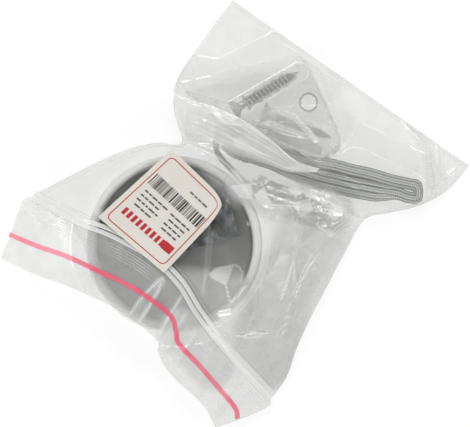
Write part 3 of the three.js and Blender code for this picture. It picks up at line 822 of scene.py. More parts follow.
def facets(spacing, seed):
    """Flat triangles between scattered points of random height, from -1 to 1, and a random shade for each."""
    random = np.random.default_rng(seed)
    count = int(RASTER_SIZE * RASTER_STEP / spacing) + 3
    line = (np.arange(count) - 1) * spacing
    x, y = np.meshgrid(line + RASTER_LOW[0], line + RASTER_LOW[1], indexing="ij")
    points = np.stack([x, y], -1).reshape(-1, 2) + random.uniform(-0.48, 0.48, (count * count, 2)) * spacing
    heights = random.uniform(-1, 1, len(points))
    corners, _, triangles, *_ = delaunay_2d_cdt([Vector(p) for p in points], [], [], 0, 1e-6)
    tree = BVHTree.FromPolygons([(c.x, c.y, z) for c, z in zip(corners, heights)], triangles)
    down = Vector((0, 0, -1))
    grid = raster_points().reshape(-1, 2)
    shades = random.uniform(0, 1, len(triangles) + 1)
    found = [tree.ray_cast(Vector((px, py, 5)), down) for px, py in grid]
    values = np.array([hit[0].z if hit[0] else 0.0 for hit in found]).reshape(RASTER_SIZE, RASTER_SIZE)
    shade_of = np.array([shades[-1 if hit[2] is None else hit[2]] for hit in found]).reshape(values.shape)
    return sampler(values), sampler(shade_of)


COARSE, COARSE_SHADE = facets(9.0, 11)
MIDDLE, MIDDLE_SHADE = facets(4.6, 12)
FINE, FINE_SHADE = facets(2.3, 13)


def near(points, a, b, radius, soft):
    """1 near a stretch, falling to 0 over `soft` beyond the radius."""
    away, _ = off_line(points, a, b)
    return 1 - smoothstep(away, radius, radius + soft)


def strongest(points, places):
    """The largest of the places' weights; each is a weight, the two ends of a stretch, a radius and a softness."""
    return np.max([weight * near(points, *place_on) for weight, *place_on in places], axis=0)


CRUMPLED_PLACES = [
    (0.9, (4, 10), (28, 20), 5, 4),
    (0.28, (26, 14), (28, -12), 8, 8),
    (0.28, (28, -12), (36, -36), 7, 9),
    (0.5, (16, -33), (26, -31), 4, 5),
    (0.5, (-24, 18.5), (-24, 18.5), 3.5, 4),
    (0.3, (-30, 26), (-22, 20), 4, 6),
]
# Painted shade: places where the film's colour is painted grey.
PAINTED_SHADE_PLACES = [
    (0.80, (26, 10), (28, -12), 8, 10),
    (0.84, (28, -12), (37, -38), 8, 9),
    (0.46, (8, 10), (26, 16), 5, 7),
    (0.40, (-20, 33), (6, 42), 10, 8),
]
HAZY_PLACES = [
    (0.66, (-3, 10.5), (28, 19.5), 5, 5),
    (0.34, (-14, 11), (-4, 8), 5, 5),
    (0.60, (-24, 18.5), (-28, 17), 4.5, 3),
    (0.40, (0, 32), (12, 31), 5, 5),
    (0.40, (28, -8), (36, -36), 9, 8),
    (0.52, (2, -33), (17, -25), 6, 8),
]


def crumpled(points):
    """How crumpled the outer film is, from 0 to 1: less over the cup, which holds it smooth."""
    return strongest(points, CRUMPLED_PLACES) * (1 - 0.85 * near(points, CUP_CENTRE, CUP_CENTRE, CUP_R, 5))


# Flat facets of the crumpled film that catch the light: corners, and how white they are.
BRIGHT_FACETS = [
    ([(4.5, -22.3), (5.4, -18.7), (9.7, -14.3), (11.7, -22), (6, -22.7)], 0.42),
    ([(9.7, -14.3), (14.1, -15.9), (15.6, -19.5), (11.7, -22)], 0.08),
    ([(14.5, -31.5), (17.7, -28.3), (20.4, -33.3)], 0.3),
    ([(17.7, -28.3), (19.9, -18.8), (22.3, -12.3), (25.6, -25.7), (20.4, -33.3)], 0.16),
    ([(-42.4, 26.4), (-11.4, 59.8), (-10.8, 58.6), (-12.2, 55.2), (-23.8, 29.8), (-38.2, 24.8)], 0.36),
    ([(-6.8, 6.8), (-1.4, 11.6), (2.4, 7.4), (-1.9, 5.4)], 0.32),
    ([(1.6, 8.9), (2.9, 13.1), (8.2, 10.1), (7.9, 6.8)], 0.5),
    ([(8.2, 10.1), (11.4, 7.1), (7.9, 6.8)], 0.3),
    ([(14, 14.2), (18.1, 19.3), (21.3, 16.1), (19.3, 11.4)], 0.42),
    ([(25.5, 18), (28.8, 24.1), (30.7, 22.7), (29.8, 17.9)], 0.5),
    ([(9.6, 17.4), (13.4, 20.4), (14.2, 16.4)], 0.35),
    ([(21, 8), (26, 11.6), (25.2, 5.2)], 0.25),
    ([(25.2, -33.8), (32.6, -27.2), (31, -32.6)], 0.5),
    ([(26, -4), (31.5, 3), (33, -8)], 0.12),
    ([(38, -16), (41.4, -28), (35.4, -24)], 0.14),
    ([(47.4, 48.6), (51.8, 42.4), (50.2, 51)], 0.6),
    ([(44, 55.6), (47.4, 48.6), (50.2, 51)], 0.4),
    ([(-1.4, 39.8), (9.2, 37.6), (8.4, 35.6), (-1.2, 37.8)], 0.35),
    ([(-26.4, 20.4), (-22.6, 20.6), (-22.2, 16.6), (-26, 16.4)], 0.25),
]


def bright_facets(points):
    """The whiteness of the listed facets, each a convex shape with sharp edges."""
    white = np.zeros(points.shape[:-1])
    for corners, level in BRIGHT_FACETS:
        corners = np.array(corners, float)
        runs = np.roll(corners, -1, 0) - corners
        area = np.sum(corners[:, 0] * np.roll(corners[:, 1], -1) - np.roll(corners[:, 0], -1) * corners[:, 1])
        depth = np.full(points.shape[:-1], FAR)
        for corner, run in zip(corners, runs):
            off = points - corner
            across = (run[0] * off[..., 1] - run[1] * off[..., 0]) / np.linalg.norm(run) * np.sign(area)
            depth = np.minimum(depth, across)
        white = np.maximum(white, level * smoothstep(depth, -0.15, 0.15))
    return white


# Each fold: the points it runs through, its width, its height, and how white its edge is painted, a painted highlight.
FOLDS = [
    ([(31, 60), (40.5, 55.5), (47.4, 48.6), (51.6, 42.6)], 3.2, 1.3, 0.5),
    ([(36, 59.6), (44, 55), (49.6, 50), (52.8, 43.6)], 1.6, 0.7, 0.35),
    ([(44, 59.6), (49.4, 53), (53, 45.6)], 1.4, 0.6, 0.3),
    ([(-28.5, 9.8), (-16, 12.4), (-6, 11), (0, 8)], 1.2, 0.5, 0.22),
    ([(-28.5, 9.8), (-20, 14.6), (-8, 15.4)], 0.8, 0.3, 0.16),
    ([(-28.5, 9.8), (-35, 22), (-41, 34)], 1.2, 0.25, 0.08),
    ([(35, 23), (31.6, 12), (31.4, 0), (33.6, -14), (38, -34)], 0.7, 0.25, 0.24),
    ([(33.4, 22), (30.6, 12), (31, -2), (34.8, -16), (40, -34)], 0.5, 0.2, 0.18),
    ([(37, 22), (33, 14), (31.5, 4), (32.2, -8)], 0.5, 0.2, 0.16),
    ([(21.5, 9.5), (25.5, 0), (31, -8)], 0.7, 0.25, 0.2),
    ([(21.5, 9.5), (26.8, -4), (30.6, -16)], 0.5, 0.2, 0.14),
    ([(38, 23.4), (26, 19.6), (14, 13), (6, 8)], 0.9, 0.6, 0.3),
    ([(37.6, 23.4), (30, 22.4), (18, 20.4), (8, 16)], 0.8, 0.5, 0.3),
    ([(11.7, -22), (14, -24), (16.4, -26)], 0.5, 0.3, 0.3),
    ([(16.4, -26), (17.2, -21), (17, -17.5)], 0.5, 0.3, 0.26),
    ([(9.7, -14.3), (12.5, -14.4), (14.1, -15.9), (15.6, -18.6)], 0.5, 0.3, 0.3),
    ([(-4.8, -8.2), (-0.5, -16), (4.5, -24.5), (6.7, -29)], 2.6, 0.3, 0.2),
    ([(-3, -9), (1, -16), (3.6, -21), (5, -26)], 0.6, 0.2, 0.2),
    ([(14.7, -31.6), (17.2, -29), (18.5, -27.9)], 1.2, 0.5, 0.6),
    ([(25.2, -33.8), (29, -30), (33.4, -26.8)], 1.2, 0.6, 0.6),
    ([(18, -14), (24, -22), (27, -33)], 0.8, 0.3, 0.2),
    ([(-42.6, 25.6), (-27, 42.8), (-11, 60)], 0.7, 0.3, 0.3),
    ([(-1.5, 39.2), (4, 38.4), (9.5, 36.6)], 1.6, 0.6, 0.7),
    ([(-7, 59.4), (3, 52), (11.8, 45.4), (19.6, 37.8)], 0.7, 0.3, 0.3),
    ([(44, 31.5), (50, 39), (51.6, 47), (54, 57)], 1.6, 0.8, 0.3),
]


def folds(points, listed=FOLDS, core=0.22):
    """The height that folds give the film, and the whiteness painted along them as a painted highlight; `core` is the
    white share of their width.
    """
    height = np.zeros(points.shape[:-1])
    white = np.zeros(points.shape[:-1])
    for through, width, rise, edge in listed:
        course = spline(*through)(np.linspace(0, 1, 8 * len(through)))
        away = np.full(points.shape[:-1], FAR)
        taper = np.zeros(points.shape[:-1])
        for i in range(len(course) - 1):
            distance, share = off_line(points, course[i], course[i + 1])
            closer = distance < away
            away = np.where(closer, distance, away)
            along = (i + share) / (len(course) - 1)
            taper = np.where(closer, np.minimum(1, 5 * np.minimum(along + 0.12, 1.06 - along)), taper)
        height += rise * taper * np.maximum(0, 1 - away / width)
        white = np.maximum(white, edge * taper * np.maximum(0, 1 - away / (core * width + 0.25)))
    return height, white


def glints(points, amount):
    """White facets, from 0 to 1: sharp-edged triangles that catch the light."""
    large = smoothstep(MIDDLE_SHADE(points), 0.80, 0.84) * (0.3 + 0.7 * COARSE_SHADE(points))
    small = smoothstep(FINE_SHADE(points), 0.90, 0.94)
    return np.maximum(amount * np.maximum(0.34 * large, 0.45 * small), bright_facets(points))


def crumple(points):
    """The outer film's own height, the whiteness of its painted highlights on folds and facets, and how crumpled it is.
    """
    amount = crumpled(points)
    coarse, middle, fine = COARSE(points), MIDDLE(points), FINE(points)
    fold_height, fold_highlight = folds(points)
    swell = 0.12 * (1 + np.sin(points[..., 0] / 9 + 1) * np.sin(points[..., 1] / 11))
    height = amount * (1.7 * coarse + 1.0 * middle + 0.2 * fine) + swell + fold_height
    return height, np.maximum(fold_highlight, glints(points, amount)), amount


def creasing(z, spacing):
    """How sharply a grid of heights is creased, from 0 to 1."""
    bend = np.zeros_like(z)
    bend[1:-1] = np.abs(z[2:] + z[:-2] - 2 * z[1:-1])
    bend[:, 1:-1] = np.maximum(bend[:, 1:-1], np.abs(z[:, 2:] + z[:, :-2] - 2 * z[:, 1:-1]))
    return np.clip((bend - 0.05) / spacing, 0, 1)


def film_object(name, layers, material):
    """One mesh of several grids, each of points, haze and tone."""
    shapes = [points.shape[:2] for points, _, _ in layers]
    points, faces = merge(*((layer[0].reshape(-1, 3), sheet_faces(*shape)) for layer, shape in zip(layers, shapes)))
    obj = linked(name, points, faces, material)
    for column, key in ((1, "haze"), (2, "tone")):
        grids = [np.broadcast_to(layer[column], shape).ravel() for layer, shape in zip(layers, shapes)]
        value_points(obj, key, np.concatenate(grids))
    shade(obj.data, 180)
    return obj


# --- outer bag

COLUMNS = 230  # of every grid across the outer bag


def grid(rows, columns):
    """Shares from 0 to 1 down the rows and across the columns of a grid."""
    return np.meshgrid(np.linspace(0, 1, rows), np.linspace(0, 1, columns), indexing="ij")


def bag_grid(rows):
    """The same, with the columns closer together at both sides of the bag."""
    v, share = grid(rows, COLUMNS)
    return v, 0.55 * share + 0.225 * (1 - np.cos(np.pi * share))


def sides(u, surface_at, v):
    """Distance from the nearer side of the film."""
    width = np.linalg.norm(surface_at(np.zeros_like(v), v) - surface_at(np.ones_like(v), v), axis=-1)
    return np.minimum(u, 1 - u) * width


def weld_haze(distance, end_distance):
    """How much denser the film is along its welded strips and at its very edge."""
    nearest = np.minimum(distance, end_distance)
    return 0.03 * (1 - smoothstep(nearest, WELD - 0.4, WELD)) + 0.12 * (1 - smoothstep(nearest, 0.1, 0.6))


def front_lying(points):
    """The front film's height and the whiteness of its painted highlights where it lies on the contents, and how
    crumpled it is.
    """
    height, white, amount = crumple(points)
    lying = drape(OUTER_SUPPORTS, FRONT_FLOOR, points) + COVER
    return lying + np.maximum(height + 0.25 * amount, -0.15), white, amount


def painted_shade_tone(points):
    """How grey the film's colour is: faintly uneven, with painted shade in the listed places where its layers pile up
    and crumple.
    """
    return np.maximum(0.30 + 0.04 * COARSE(points), strongest(points, PAINTED_SHADE_PLACES))


def film_haze(points, amount):
    """How dense the outer film is, before its creases."""
    open_film = mix(0.25, 0.12, near(points, CUP_CENTRE, CUP_CENTRE, CUP_R + 1, 4))
    uneven = 1 + 0.22 * (MIDDLE_SHADE(points) - 0.5) * amount + 0.10 * (COARSE_SHADE(points) - 0.5)
    return np.maximum(open_film + 0.14 * amount, strongest(points, HAZY_PLACES)) * uneven


def front_film():
    surface_at = patch(SEALED_EDGE, ZIP_LINE, LEFT_SIDE, RIGHT_SIDE)
    v, u = bag_grid(210)
    plan = surface_at(u, v)
    side = sides(u, surface_at, v)
    lying, white, amount = front_lying(plan)
    seam = seam_height(plan) + WELD_HALF
    inside = smoothstep(side, 0, WELD_SLOPE) * smoothstep(v, 0, 0.03)
    z = mix(seam, np.maximum(lying, seam), inside)
    z = mix(z, above_cup(plan) + FRONT_LIFT, smoothstep(v, 0.97, 1.0))
    crease = creasing(z, 0.5) * inside
    # Painted light: the film is painted white where it lies over the inner bag's open hole, where the white floor shows
    # through.
    white = np.maximum(white, 0.45 * near(plan, HANG_HOLE, HANG_HOLE, HANG_HOLE_R - 0.45, 0.3))
    # Painted highlights: the whiteness and the creases make the film denser and lighter in colour, over its painted
    # shade.
    haze = film_haze(plan, amount) + 0.8 * white + 0.22 * crease + weld_haze(side, v * FRONT_LENGTH)
    return np.dstack([plan, z]), haze, painted_shade_tone(plan) * (1 - np.clip(1.3 * white + crease, 0, 1))


# Gathers across the lip, from the zip towards the mouth, as in FOLDS, with painted highlights along them.
LIP_FOLDS = [
    ([(-7.6, -32), (-9.4, -40.5), (-9.6, -49.4)], 0.8, 0.6, 0.42),
    ([(-7.2, -32.2), (-6.2, -38.3), (-5.3, -49.8)], 0.8, 0.6, 0.42),
    ([(1.3, -33.6), (1.8, -42), (2.8, -50.6)], 0.9, 0.7, 0.42),
    ([(3, -38), (4.6, -44), (5.4, -53)], 1.8, 0.7, 0.2),
    ([(6, -38), (6.2, -45), (8, -53)], 2.2, 0.9, 0.3),
    ([(12.6, -41), (12.4, -47), (13.2, -54.4)], 1.8, 0.8, 0.25),
    ([(-34, -36), (-30, -44), (-27, -53)], 3.4, 0.5, 0.06),
    ([(20, -42), (22, -50), (26, -59)], 2.6, 0.6, 0.14),
    ([(33, -45), (34, -52), (35, -61)], 2.4, 0.6, 0.16),
]
# The share of a gather's width that is painted white along it, a painted highlight.
LIP_HIGHLIGHT_SHARE = 0.62  # of a gather's width


def lip_height(points, level=1):
    """The height and painted-highlight whiteness of the lip's back layer (level 0) or front layer (level 1)."""
    height, white = folds(points, LIP_FOLDS, LIP_HIGHLIGHT_SHARE)
    ripple = 0.35 * COARSE(points) + 0.12 * MIDDLE(points)
    lying = above_cup(points, CUP_R + 5) + FRONT_LIFT + 0.5 * level
    return lying + 0.6 * (height + ripple + 0.3), white


def lip(level):
    v, u = bag_grid(60)
    plan = patch(ZIP_LINE, MOUTH_EDGE, LIP_LEFT, LIP_RIGHT)(u, v)
    z, white = lip_height(plan, level)
    z = mix(above_cup(plan) + FRONT_LIFT + 0.1 * level, z, smoothstep(v, 0.0, 0.12))
    crease = creasing(z, 0.5)
    pressed = 0.16 * near(plan, (-7.4, -34), (-7.4, -50), 1.6, 0.6)
    gathered = 0.30 * near(plan, (8, -43), (24, -48), 5.5, 4)
    free_edge = 0.15 * (1 - smoothstep(1 - v, 0, 0.02))
    # Painted highlights: the gathers' whiteness and the creases make the lip denser and lighter in colour.
    haze = 0.31 + np.maximum(pressed, gathered) + 0.6 * white + 0.2 * crease + free_edge
    return np.dstack([plan, z]), haze, 0.28 * (1 - np.clip(1.5 * white + crease, 0, 1))


# A pleat of the front film: its folded edge crosses the inner bag, and its body fans out to the left.
PLEAT_EDGE = spline(
    (-41.8, 22.4), (-34, 23.4), (-28.5, 25.5), (-16.1, 27.9), (-2.7, 27.7), (6.5, 26.9), (15, 29.4))
PLEAT_FOOT = spline(
    (-33.8, 13.4), (-30.6, 10.8), (-24, 12.4), (-12, 15), (0, 19), (7, 21.8), (15, 27.6))


def pleat():
    t, u = grid(56, 200)
    plan = mix(PLEAT_EDGE(u), PLEAT_FOOT(u), t[..., None])
    lying, white, _ = front_lying(plan)
    streaks = np.sin(t * 34 + 2.2 * np.sin(7 * u)) * np.sin(t * 17 + 3 * u + 0.5)
    fan = 0.12 * smoothstep(u, 0.05, 0.5)
    z = lying + 0.45 + fan * streaks + 0.5 * np.exp(-((t / 0.05) ** 2))
    edge = 0.45 * np.exp(-((t / 0.02) ** 2))
    fade = 1 - smoothstep(t, 0.7, 1.0)
    lines = smoothstep(streaks, 0.15, 0.9) * smoothstep(u, 0.1, 0.5)
    # The film's painted highlights of folds and facets add to the haze here too.
    haze = (0.66 + 0.16 * lines + 0.2 * white) * fade + edge
    return np.dstack([plan, z]), haze, 0.0


def back_film():
    """Along the floor, up round the cup and back over its rim to the zip."""
    surface_at = patch(SEALED_EDGE, WRAP_LINE, LEFT_SIDE, RIGHT_SIDE)
    v, u = bag_grid(170)
    plan = surface_at(u, v)
    side = sides(u, surface_at, v)
    _, white, amount = crumple(plan)
    floor = FILM / 2 + 0.08 * np.maximum(0, MIDDLE(plan))
    z = mix(seam_height(plan) - WELD_HALF, floor, smoothstep(side, 0, WELD_SLOPE))
    # Painted highlights: the whiteness of folds and facets makes the film denser and lighter in colour, over its
    # painted shade.
    haze = 0.22 + 0.12 * amount + 0.5 * white + weld_haze(side, v * BACK_LENGTH)
    tone = painted_shade_tone(plan) * (1 - 0.8 * white)

    rise, u = (shares[1:] for shares in bag_grid(24))
    wall = WRAP_LINE(u)
    low = mix(seam_height(wall) - WELD_HALF, FILM / 2, smoothstep(np.minimum(u, 1 - u), 0, 0.04))
    wall_z = mix(low, above_cup(wall) + BACK_LIFT, rise)
    wall[..., 1] -= 0.2 * np.sin(np.pi * rise)

    back, u = (shares[1:] for shares in bag_grid(40))
    over = mix(WRAP_LINE(u), ZIP_LINE(u), back[..., None])

    wrap = [np.dstack([wall, wall_z]), np.dstack([over, above_cup(over) + BACK_LIFT])]
    points = np.concatenate([np.dstack([plan, z]), *wrap])
    wrap_shape = (len(points) - len(plan), COLUMNS)
    return points, np.concatenate([haze, np.full(wrap_shape, 0.08)]), np.concatenate([tone, np.full(wrap_shape, 0.3)])


def build_outer_bag():
    front = film_object("bag_front", [front_film(), lip(1), pleat()], film)
    back = film_object("bag_back", [back_film(), lip(0)], film)
    return (place(front, "film", "bag_front_film", "bag_front_lip"),
            place(back, "film", "bag_back_film", "bag_back_lip"))


def ribbon(course, offset, half_width, lift, steps=260, across=5, height=lip_height):
    """A strip that follows a line on the front lip, `offset` towards the mouth."""
    line = course(np.linspace(0, 1, steps))
    tangent = unit_rows(np.gradient(line, axis=0))
    side = np.stack([tangent[:, 1], -tangent[:, 0]], 1)
    reach = offset + np.linspace(-1, 1, across) * half_width
    plan = line[:, None, :] + side[:, None, :] * reach[None, :, None]
    return np.dstack([plan, height(plan)[0] + lift])


def zip_height(points):
    """The height under the zip, which lies on the bag's film on one side and on the lip on the other."""
    left, right = ZIP_LINE(0.0)[0], ZIP_LINE(1.0)[0]
    from_zip = points[..., 1] - ZIP_LINE((points[..., 0] - left) / (right - left))[..., 1]
    film_z = above_cup(points) + FRONT_LIFT + 0.1
    return np.maximum(film_z, mix(lip_height(points)[0], film_z, smoothstep(from_zip, -1.5, 1.5))), None


# The press profile's two beads: name, node, offset, lift and half width.
ZIP_BEADS = [
    ("zip_rib_bead", "zip_rib", -0.95, 0.8, 0.75),
    ("zip_groove_bead", "zip_groove", 0.95, 0.7, 0.8),
]
GUIDE_OFFSETS = (-2.6, -1.6, 2.2, 3.3, 4.2, 5.1, 6.0, 6.9)


def build_zip():
    """The press profile's two beads, and the fine guide ridges beside it."""
    across = 7
    bulge = np.sin(np.linspace(0, np.pi, across))
    for name, node, offset, lift, half_width in ZIP_BEADS:
        points = ribbon(ZIP_LINE, offset, half_width, lift, across=across, height=zip_height)
        haze = 0.62 - 0.14 * bulge
        layers = []
        for bow in (0.35, -0.25):
            face = points.copy()
            face[..., 2] += bow * bulge
            layers.append((face, haze, 0.0))
        place(film_object(name, layers, zip_plastic), "zip", node)
    ridges = []
    for offset in GUIDE_OFFSETS:
        points = ribbon(ZIP_LINE, offset, 0.16, 0.08, across=3, height=zip_height)
        points[:, 1, 2] += 0.22
        ridges.append((points, 0.26 + 0.12 * COARSE(points[..., :2]), 0.0))
    place(film_object("zip_guides", ridges, zip_plastic), "zip")


STRIPE = spline(
    (-59.6, -50.5), (-48.9, -48), (-38.4, -44.9), (-27.1, -42.9), (-15.8, -40.9), (-5.5, -40.5), (2.3, -41.3),
    (6.7, -44.6), (9.9, -47.4), (20, -49.7), (30.4, -52.5), (38.5, -54.9), (41.4, -57.7))


def build_stripe():
    points = ribbon(STRIPE, 0, 0.82, 0.12, steps=300, across=7)
    plan = points[..., :2]
    _, white = folds(plan, LIP_FOLDS, LIP_HIGHLIGHT_SHARE)
    # The stripe is painted paler where the gathers' painted highlights cross it, with a random unevenness.
    tone = np.clip(0.12 + 0.8 * white + 0.25 * COARSE(plan), 0, 1)
    place(film_object("pink_stripe", [(points, 0.78 + 0.1 * FINE(plan), tone)], pink_ink), "film")


# --- inner bag


def inner_film_layers():
    """The inner bag's front and back films, each of points, haze and tone."""
    v, u = grid(130, 130)
    plan = patch(INNER_BOTTOM, INNER_TOP, INNER_LEFT, INNER_RIGHT)(u, v)
    # Points near the hole's edge are moved on to it, so that the hole comes out round.
    away = np.linalg.norm(plan - HANG_HOLE, axis=-1)
    snapped = HANG_HOLE + (plan - HANG_HOLE) / np.maximum(away, 1e-6)[..., None] * HANG_HOLE_R
    plan = np.where((np.abs(away - HANG_HOLE_R) < 0.3)[..., None], snapped, plan)
    edge = np.minimum(np.minimum(u, 1 - u) * INNER_WIDTH, np.minimum(v, 1 - v) * INNER_LENGTH)
    wrinkle = 0.55 * MIDDLE(plan) + 0.3 * FINE(plan) + 0.5 * COARSE(plan)
    lying = drape(fixing_supports(GAP), INNER_FLOOR, plan) + COVER + np.maximum(wrinkle * 0.7, -0.1)
    z = mix(INNER_FLOOR + 0.1, lying, smoothstep(edge, 0, 3))
    crease = creasing(z, 0.35)
    border = 0.22 * (1 - smoothstep(edge, 1.6, 2.4)) + 0.3 * np.exp(-((edge / 0.5) ** 2))
    band = 0.10 * (1 - smoothstep((1 - v) * INNER_LENGTH, 5.2, 6.4))
    bright = smoothstep(MIDDLE_SHADE(plan), 0.78, 0.84)
    lower = near(plan, (-8, 32), (12, 36), 3.5, 4)
    # Painted highlights: the creases and the random bright facets make the film denser and lighter in colour.
    haze = 0.15 + 0.2 * crease + border + band + 0.14 * bright + 0.36 * lower
    tone = 0.32 - 0.28 * crease - 0.4 * bright - 0.5 * np.exp(-((edge / 0.6) ** 2)) - 0.4 * lower
    tone = np.clip(tone, 0, 1)
    return (np.dstack([plan, z]), haze, tone), (np.dstack([plan, np.full_like(z, FLOOR + 0.1)]), 0.5 * haze, tone)


def hole_rim():
    """Points and faces of the thin melted rim of the inner bag's hole, painted dark grey as painted shade where the
    punched edge bends the light.
    """
    angle = circle(72)
    outward = np.stack([np.cos(angle), np.sin(angle)], 1)
    rim = HANG_HOLE + HANG_HOLE_R * outward
    rim_z = drape(fixing_supports(GAP), INNER_FLOOR, rim) + 0.4
    section = np.linspace(0, 2 * np.pi, 9)
    rings = [np.column_stack([rim + outward * 0.2 * math.cos(s), rim_z + 0.2 * math.sin(s)]) for s in section]
    return np.concatenate(rings), grid_faces(len(section), len(angle), around=True)


def build_inner_bag():
    made = []
    middle = Vector(metres([*HANG_HOLE, 0]))
    for side, layer in zip(("front", "back"), inner_film_layers()):
        sheet = film_object(f"inner_bag_{side}", [layer], inner_film)
        with edited(sheet.data) as work:
            in_hole = [face for face in work.faces
                       if (face.calc_center_median() - middle).xy.length < (HANG_HOLE_R - 0.02) / 1000]
            bmesh.ops.delete(work, geom=in_hole, context="FACES")
        made.append(place(sheet, "inner_film", f"inner_bag_{side}_film"))
    place(mesh_object("hang_hole_rim", *hole_rim(), melted_edge_painted_shade), "inner_film")
    return made


# --- ceiling cup and strap


def cup_shell(origin):
    """The cup, painted outside and bare inside from below its rim."""
    inner = CUP_R - CUP_WALL
    lip_low = (inner - 0.7, CUP_HEIGHT - 3.0)
    outside = [
        (3.2, 0), (CUP_R - 2.5, 0), (CUP_R - 0.7, 0.7), (CUP_R, 2.5), (CUP_R, CUP_HEIGHT - 0.7),
        (CUP_R - 0.7, CUP_HEIGHT), (inner + 0.5, CUP_HEIGHT), (inner - 0.5, CUP_HEIGHT - 0.9), lip_low,
    ]
    inside = [
        lip_low, (inner, CUP_HEIGHT - 3.6), (inner, CUP_BASE + 1.5), (inner - 1.5, CUP_BASE), (3.2, CUP_BASE), (3.2, 0),
    ]
    shape = merge(*(turned(profile, origin, UP, segments=160, ease=0.4) for profile in (outside, inside)))
    cup = mesh_object("cup_shell", *shape, white_paint, smooth=35)
    cup.data.materials.append(cup_inside)
    centre = metres(origin)
    for face in cup.data.polygons:
        x, y, height = (np.array(face.center) - centre) * 1000
        from_axis = math.hypot(x, y)
        below_rim = height < CUP_HEIGHT - (2.9 if from_axis < inner - 0.35 else 3.2)
        face.material_index = int(from_axis < inner + 0.2 and CUP_BASE - 0.2 < height and below_rim)
    return face_outwards(cup)


def build_cup():
    origin = np.array([*CUP_CENTRE, FLOOR])
    screw_height = origin + UP * CUP_SCREW_HEIGHT
    ways = [level_way(STRAP_ANGLE + turn) for turn in (0, math.pi)]
    holes = [turned(disc(1.95, 25, 33), screw_height, way, segments=32, ease=0) for way in ways]
    place(carve(cup_shell(origin), *holes), "white_paint", "ceiling_cup")

    neck, bore = 2.9, 1.6
    grommet = [(bore, 0.2), (neck, 0.2), (neck, CUP_BASE + 0.3), (6, CUP_BASE + 0.3), (6, CUP_BASE + 1),
               (bore + 1, GROMMET_TOP), (bore, GROMMET_TOP), (bore, 0.2)]
    place(turned_piece("rope_grommet", grommet, origin, UP, grey_nylon), "nylon", "cup_grommet")

    for number, way in enumerate(ways, 1):
        rod = threaded(4.2, 1.5, 1.2, 0.5, screw_height + way * (CUP_R - 4.3), way, lead_in=0.25)
        screw = face_outwards(mesh_object(f"side_screw_{number}_threaded", *rod, zinc))
        socket = turned(disc(0.75, -1.2, 1), screw_height + way * (CUP_R - 0.1), way, segments=6, ease=0)
        place(carve(screw, socket), "zinc", f"cup_screw_{number}", body=f"side_screw_{number}")


def slot_prism(middle, along, across):
    """Points and faces of the cutter for a slot with round ends, which runs across the strap."""
    angle = np.linspace(-np.pi / 2, np.pi / 2, 17)
    end = STRAP_SLOT_R * np.stack([np.sin(angle), np.cos(angle)], 1) + [0, STRAP_SLOT_REACH]
    rim = middle + np.concatenate([end, -end]) @ np.array([along, across])
    count = len(rim)
    faces = grid_faces(2, count, around=True) + [list(range(count))[::-1], list(range(count, 2 * count))]
    return np.concatenate([rim - UP * 3, rim + UP * 3]), faces


def build_strap():
    along = level_way(STRAP_ANGLE)
    across = np.cross(UP, along)
    axes = np.array([along, across, UP])
    centre = np.array([*CUP_CENTRE, FLOOR + GROMMET_TOP + GAP + STRAP_SHEET / 2]) + across * STRAP_OFFSET
    half = STRAP_LENGTH / 2
    strap = mesh_object("strap_plate", *block(centre, (STRAP_LENGTH, STRAP_WIDTH, STRAP_SHEET), axes), strap_steel)
    tools = [turned(disc(STRAP_HOLE_R, -3, 3), centre, UP, segments=48, ease=0)]
    for side in (along, -along):
        middle = centre + side * (half - STRAP_SHEET / 2) + UP * (STRAP_TAB - STRAP_SHEET) / 2
        tab = mesh_object("tab", *block(middle, (STRAP_SHEET, STRAP_WIDTH, STRAP_TAB), axes), strap_steel)
        combined(strap, "UNION", tab)
        tools.append(slot_prism(centre + side * half / 2, along, across))
        tools.append(turned(disc(1.6, -3, 3), centre + side * half + UP * 0.6 * STRAP_TAB, along, segments=32, ease=0))
    carve(strap, *tools)
    bevelled(strap, 0.22).data.validate()
    place(strap, "zinc", "mounting_strap")


# --- rope


def along_gripper(distance):
    return GRIPPER_START + GRIPPER_WAY * distance


# The middle of the hank's bundle, once round from its left end, counter-clockwise from above.
HANK_LOOP = np.array([
    (-16, 20.7), (-13.2, 17.8), (-6, 19.3), (0.5, 21.3), (6, 22.9), (11.5, 24.9), (18, 27.2), (24, 29.6),
    (30, 32.2), (36.5, 35.2), (41.8, 38.0), (45.8, 39.6), (47.8, 41.5), (46, 42.9), (42.6, 42.0), (37, 40.2),
    (30.5, 38.1), (24, 35.4), (17.5, 33.0), (11, 29.6), (4, 27.0), (-2, 25.4), (-8, 24.3), (-13.4, 23.7),
])
LAYERS = (FLOOR + 1.05, FLOOR + 2.75, FLOOR + 4.4, FLOOR + 5.7)
SPREAD_LAYER = LAYERS[1] - 0.1
# Each turn in the order that it is wound: its lane and height in the stack, and in the spread front run.
TURNS = [
    ((1, LAYERS[0]), (3.1, LAYERS[0])),
    ((-1, LAYERS[0]), (-1, LAYERS[0])),
    ((-1, LAYERS[1]), (-3.1, LAYERS[0])),
    ((1, LAYERS[1]), (1, LAYERS[0])),
    ((1, LAYERS[2]), (2.1, SPREAD_LAYER)),
    ((-1, LAYERS[2]), (-2.1, SPREAD_LAYER)),
    ((0, LAYERS[3]), (0, SPREAD_LAYER)),
]
# Where the hank's turns swing wide, as shares of the loop, and by how much.
WIDE_ENDS = ((0, 1.3), (0.51, 0.9), (1, 1.3))


def closed_course(points, count):
    """Points evenly spaced along a closed Catmull-Rom curve, and their outward directions."""
    ring = np.concatenate([points[-2:], points, points[:3]])
    total = len(ring) - 1
    plan = evenly(spline(*ring)(np.linspace(2 / total, (2 + len(points)) / total, 4000)), count + 1)[:-1]
    tangent = unit_rows(np.roll(plan, -1, 0) - np.roll(plan, 1, 0))
    return plan, np.stack([tangent[:, 1], -tangent[:, 0]], 1)


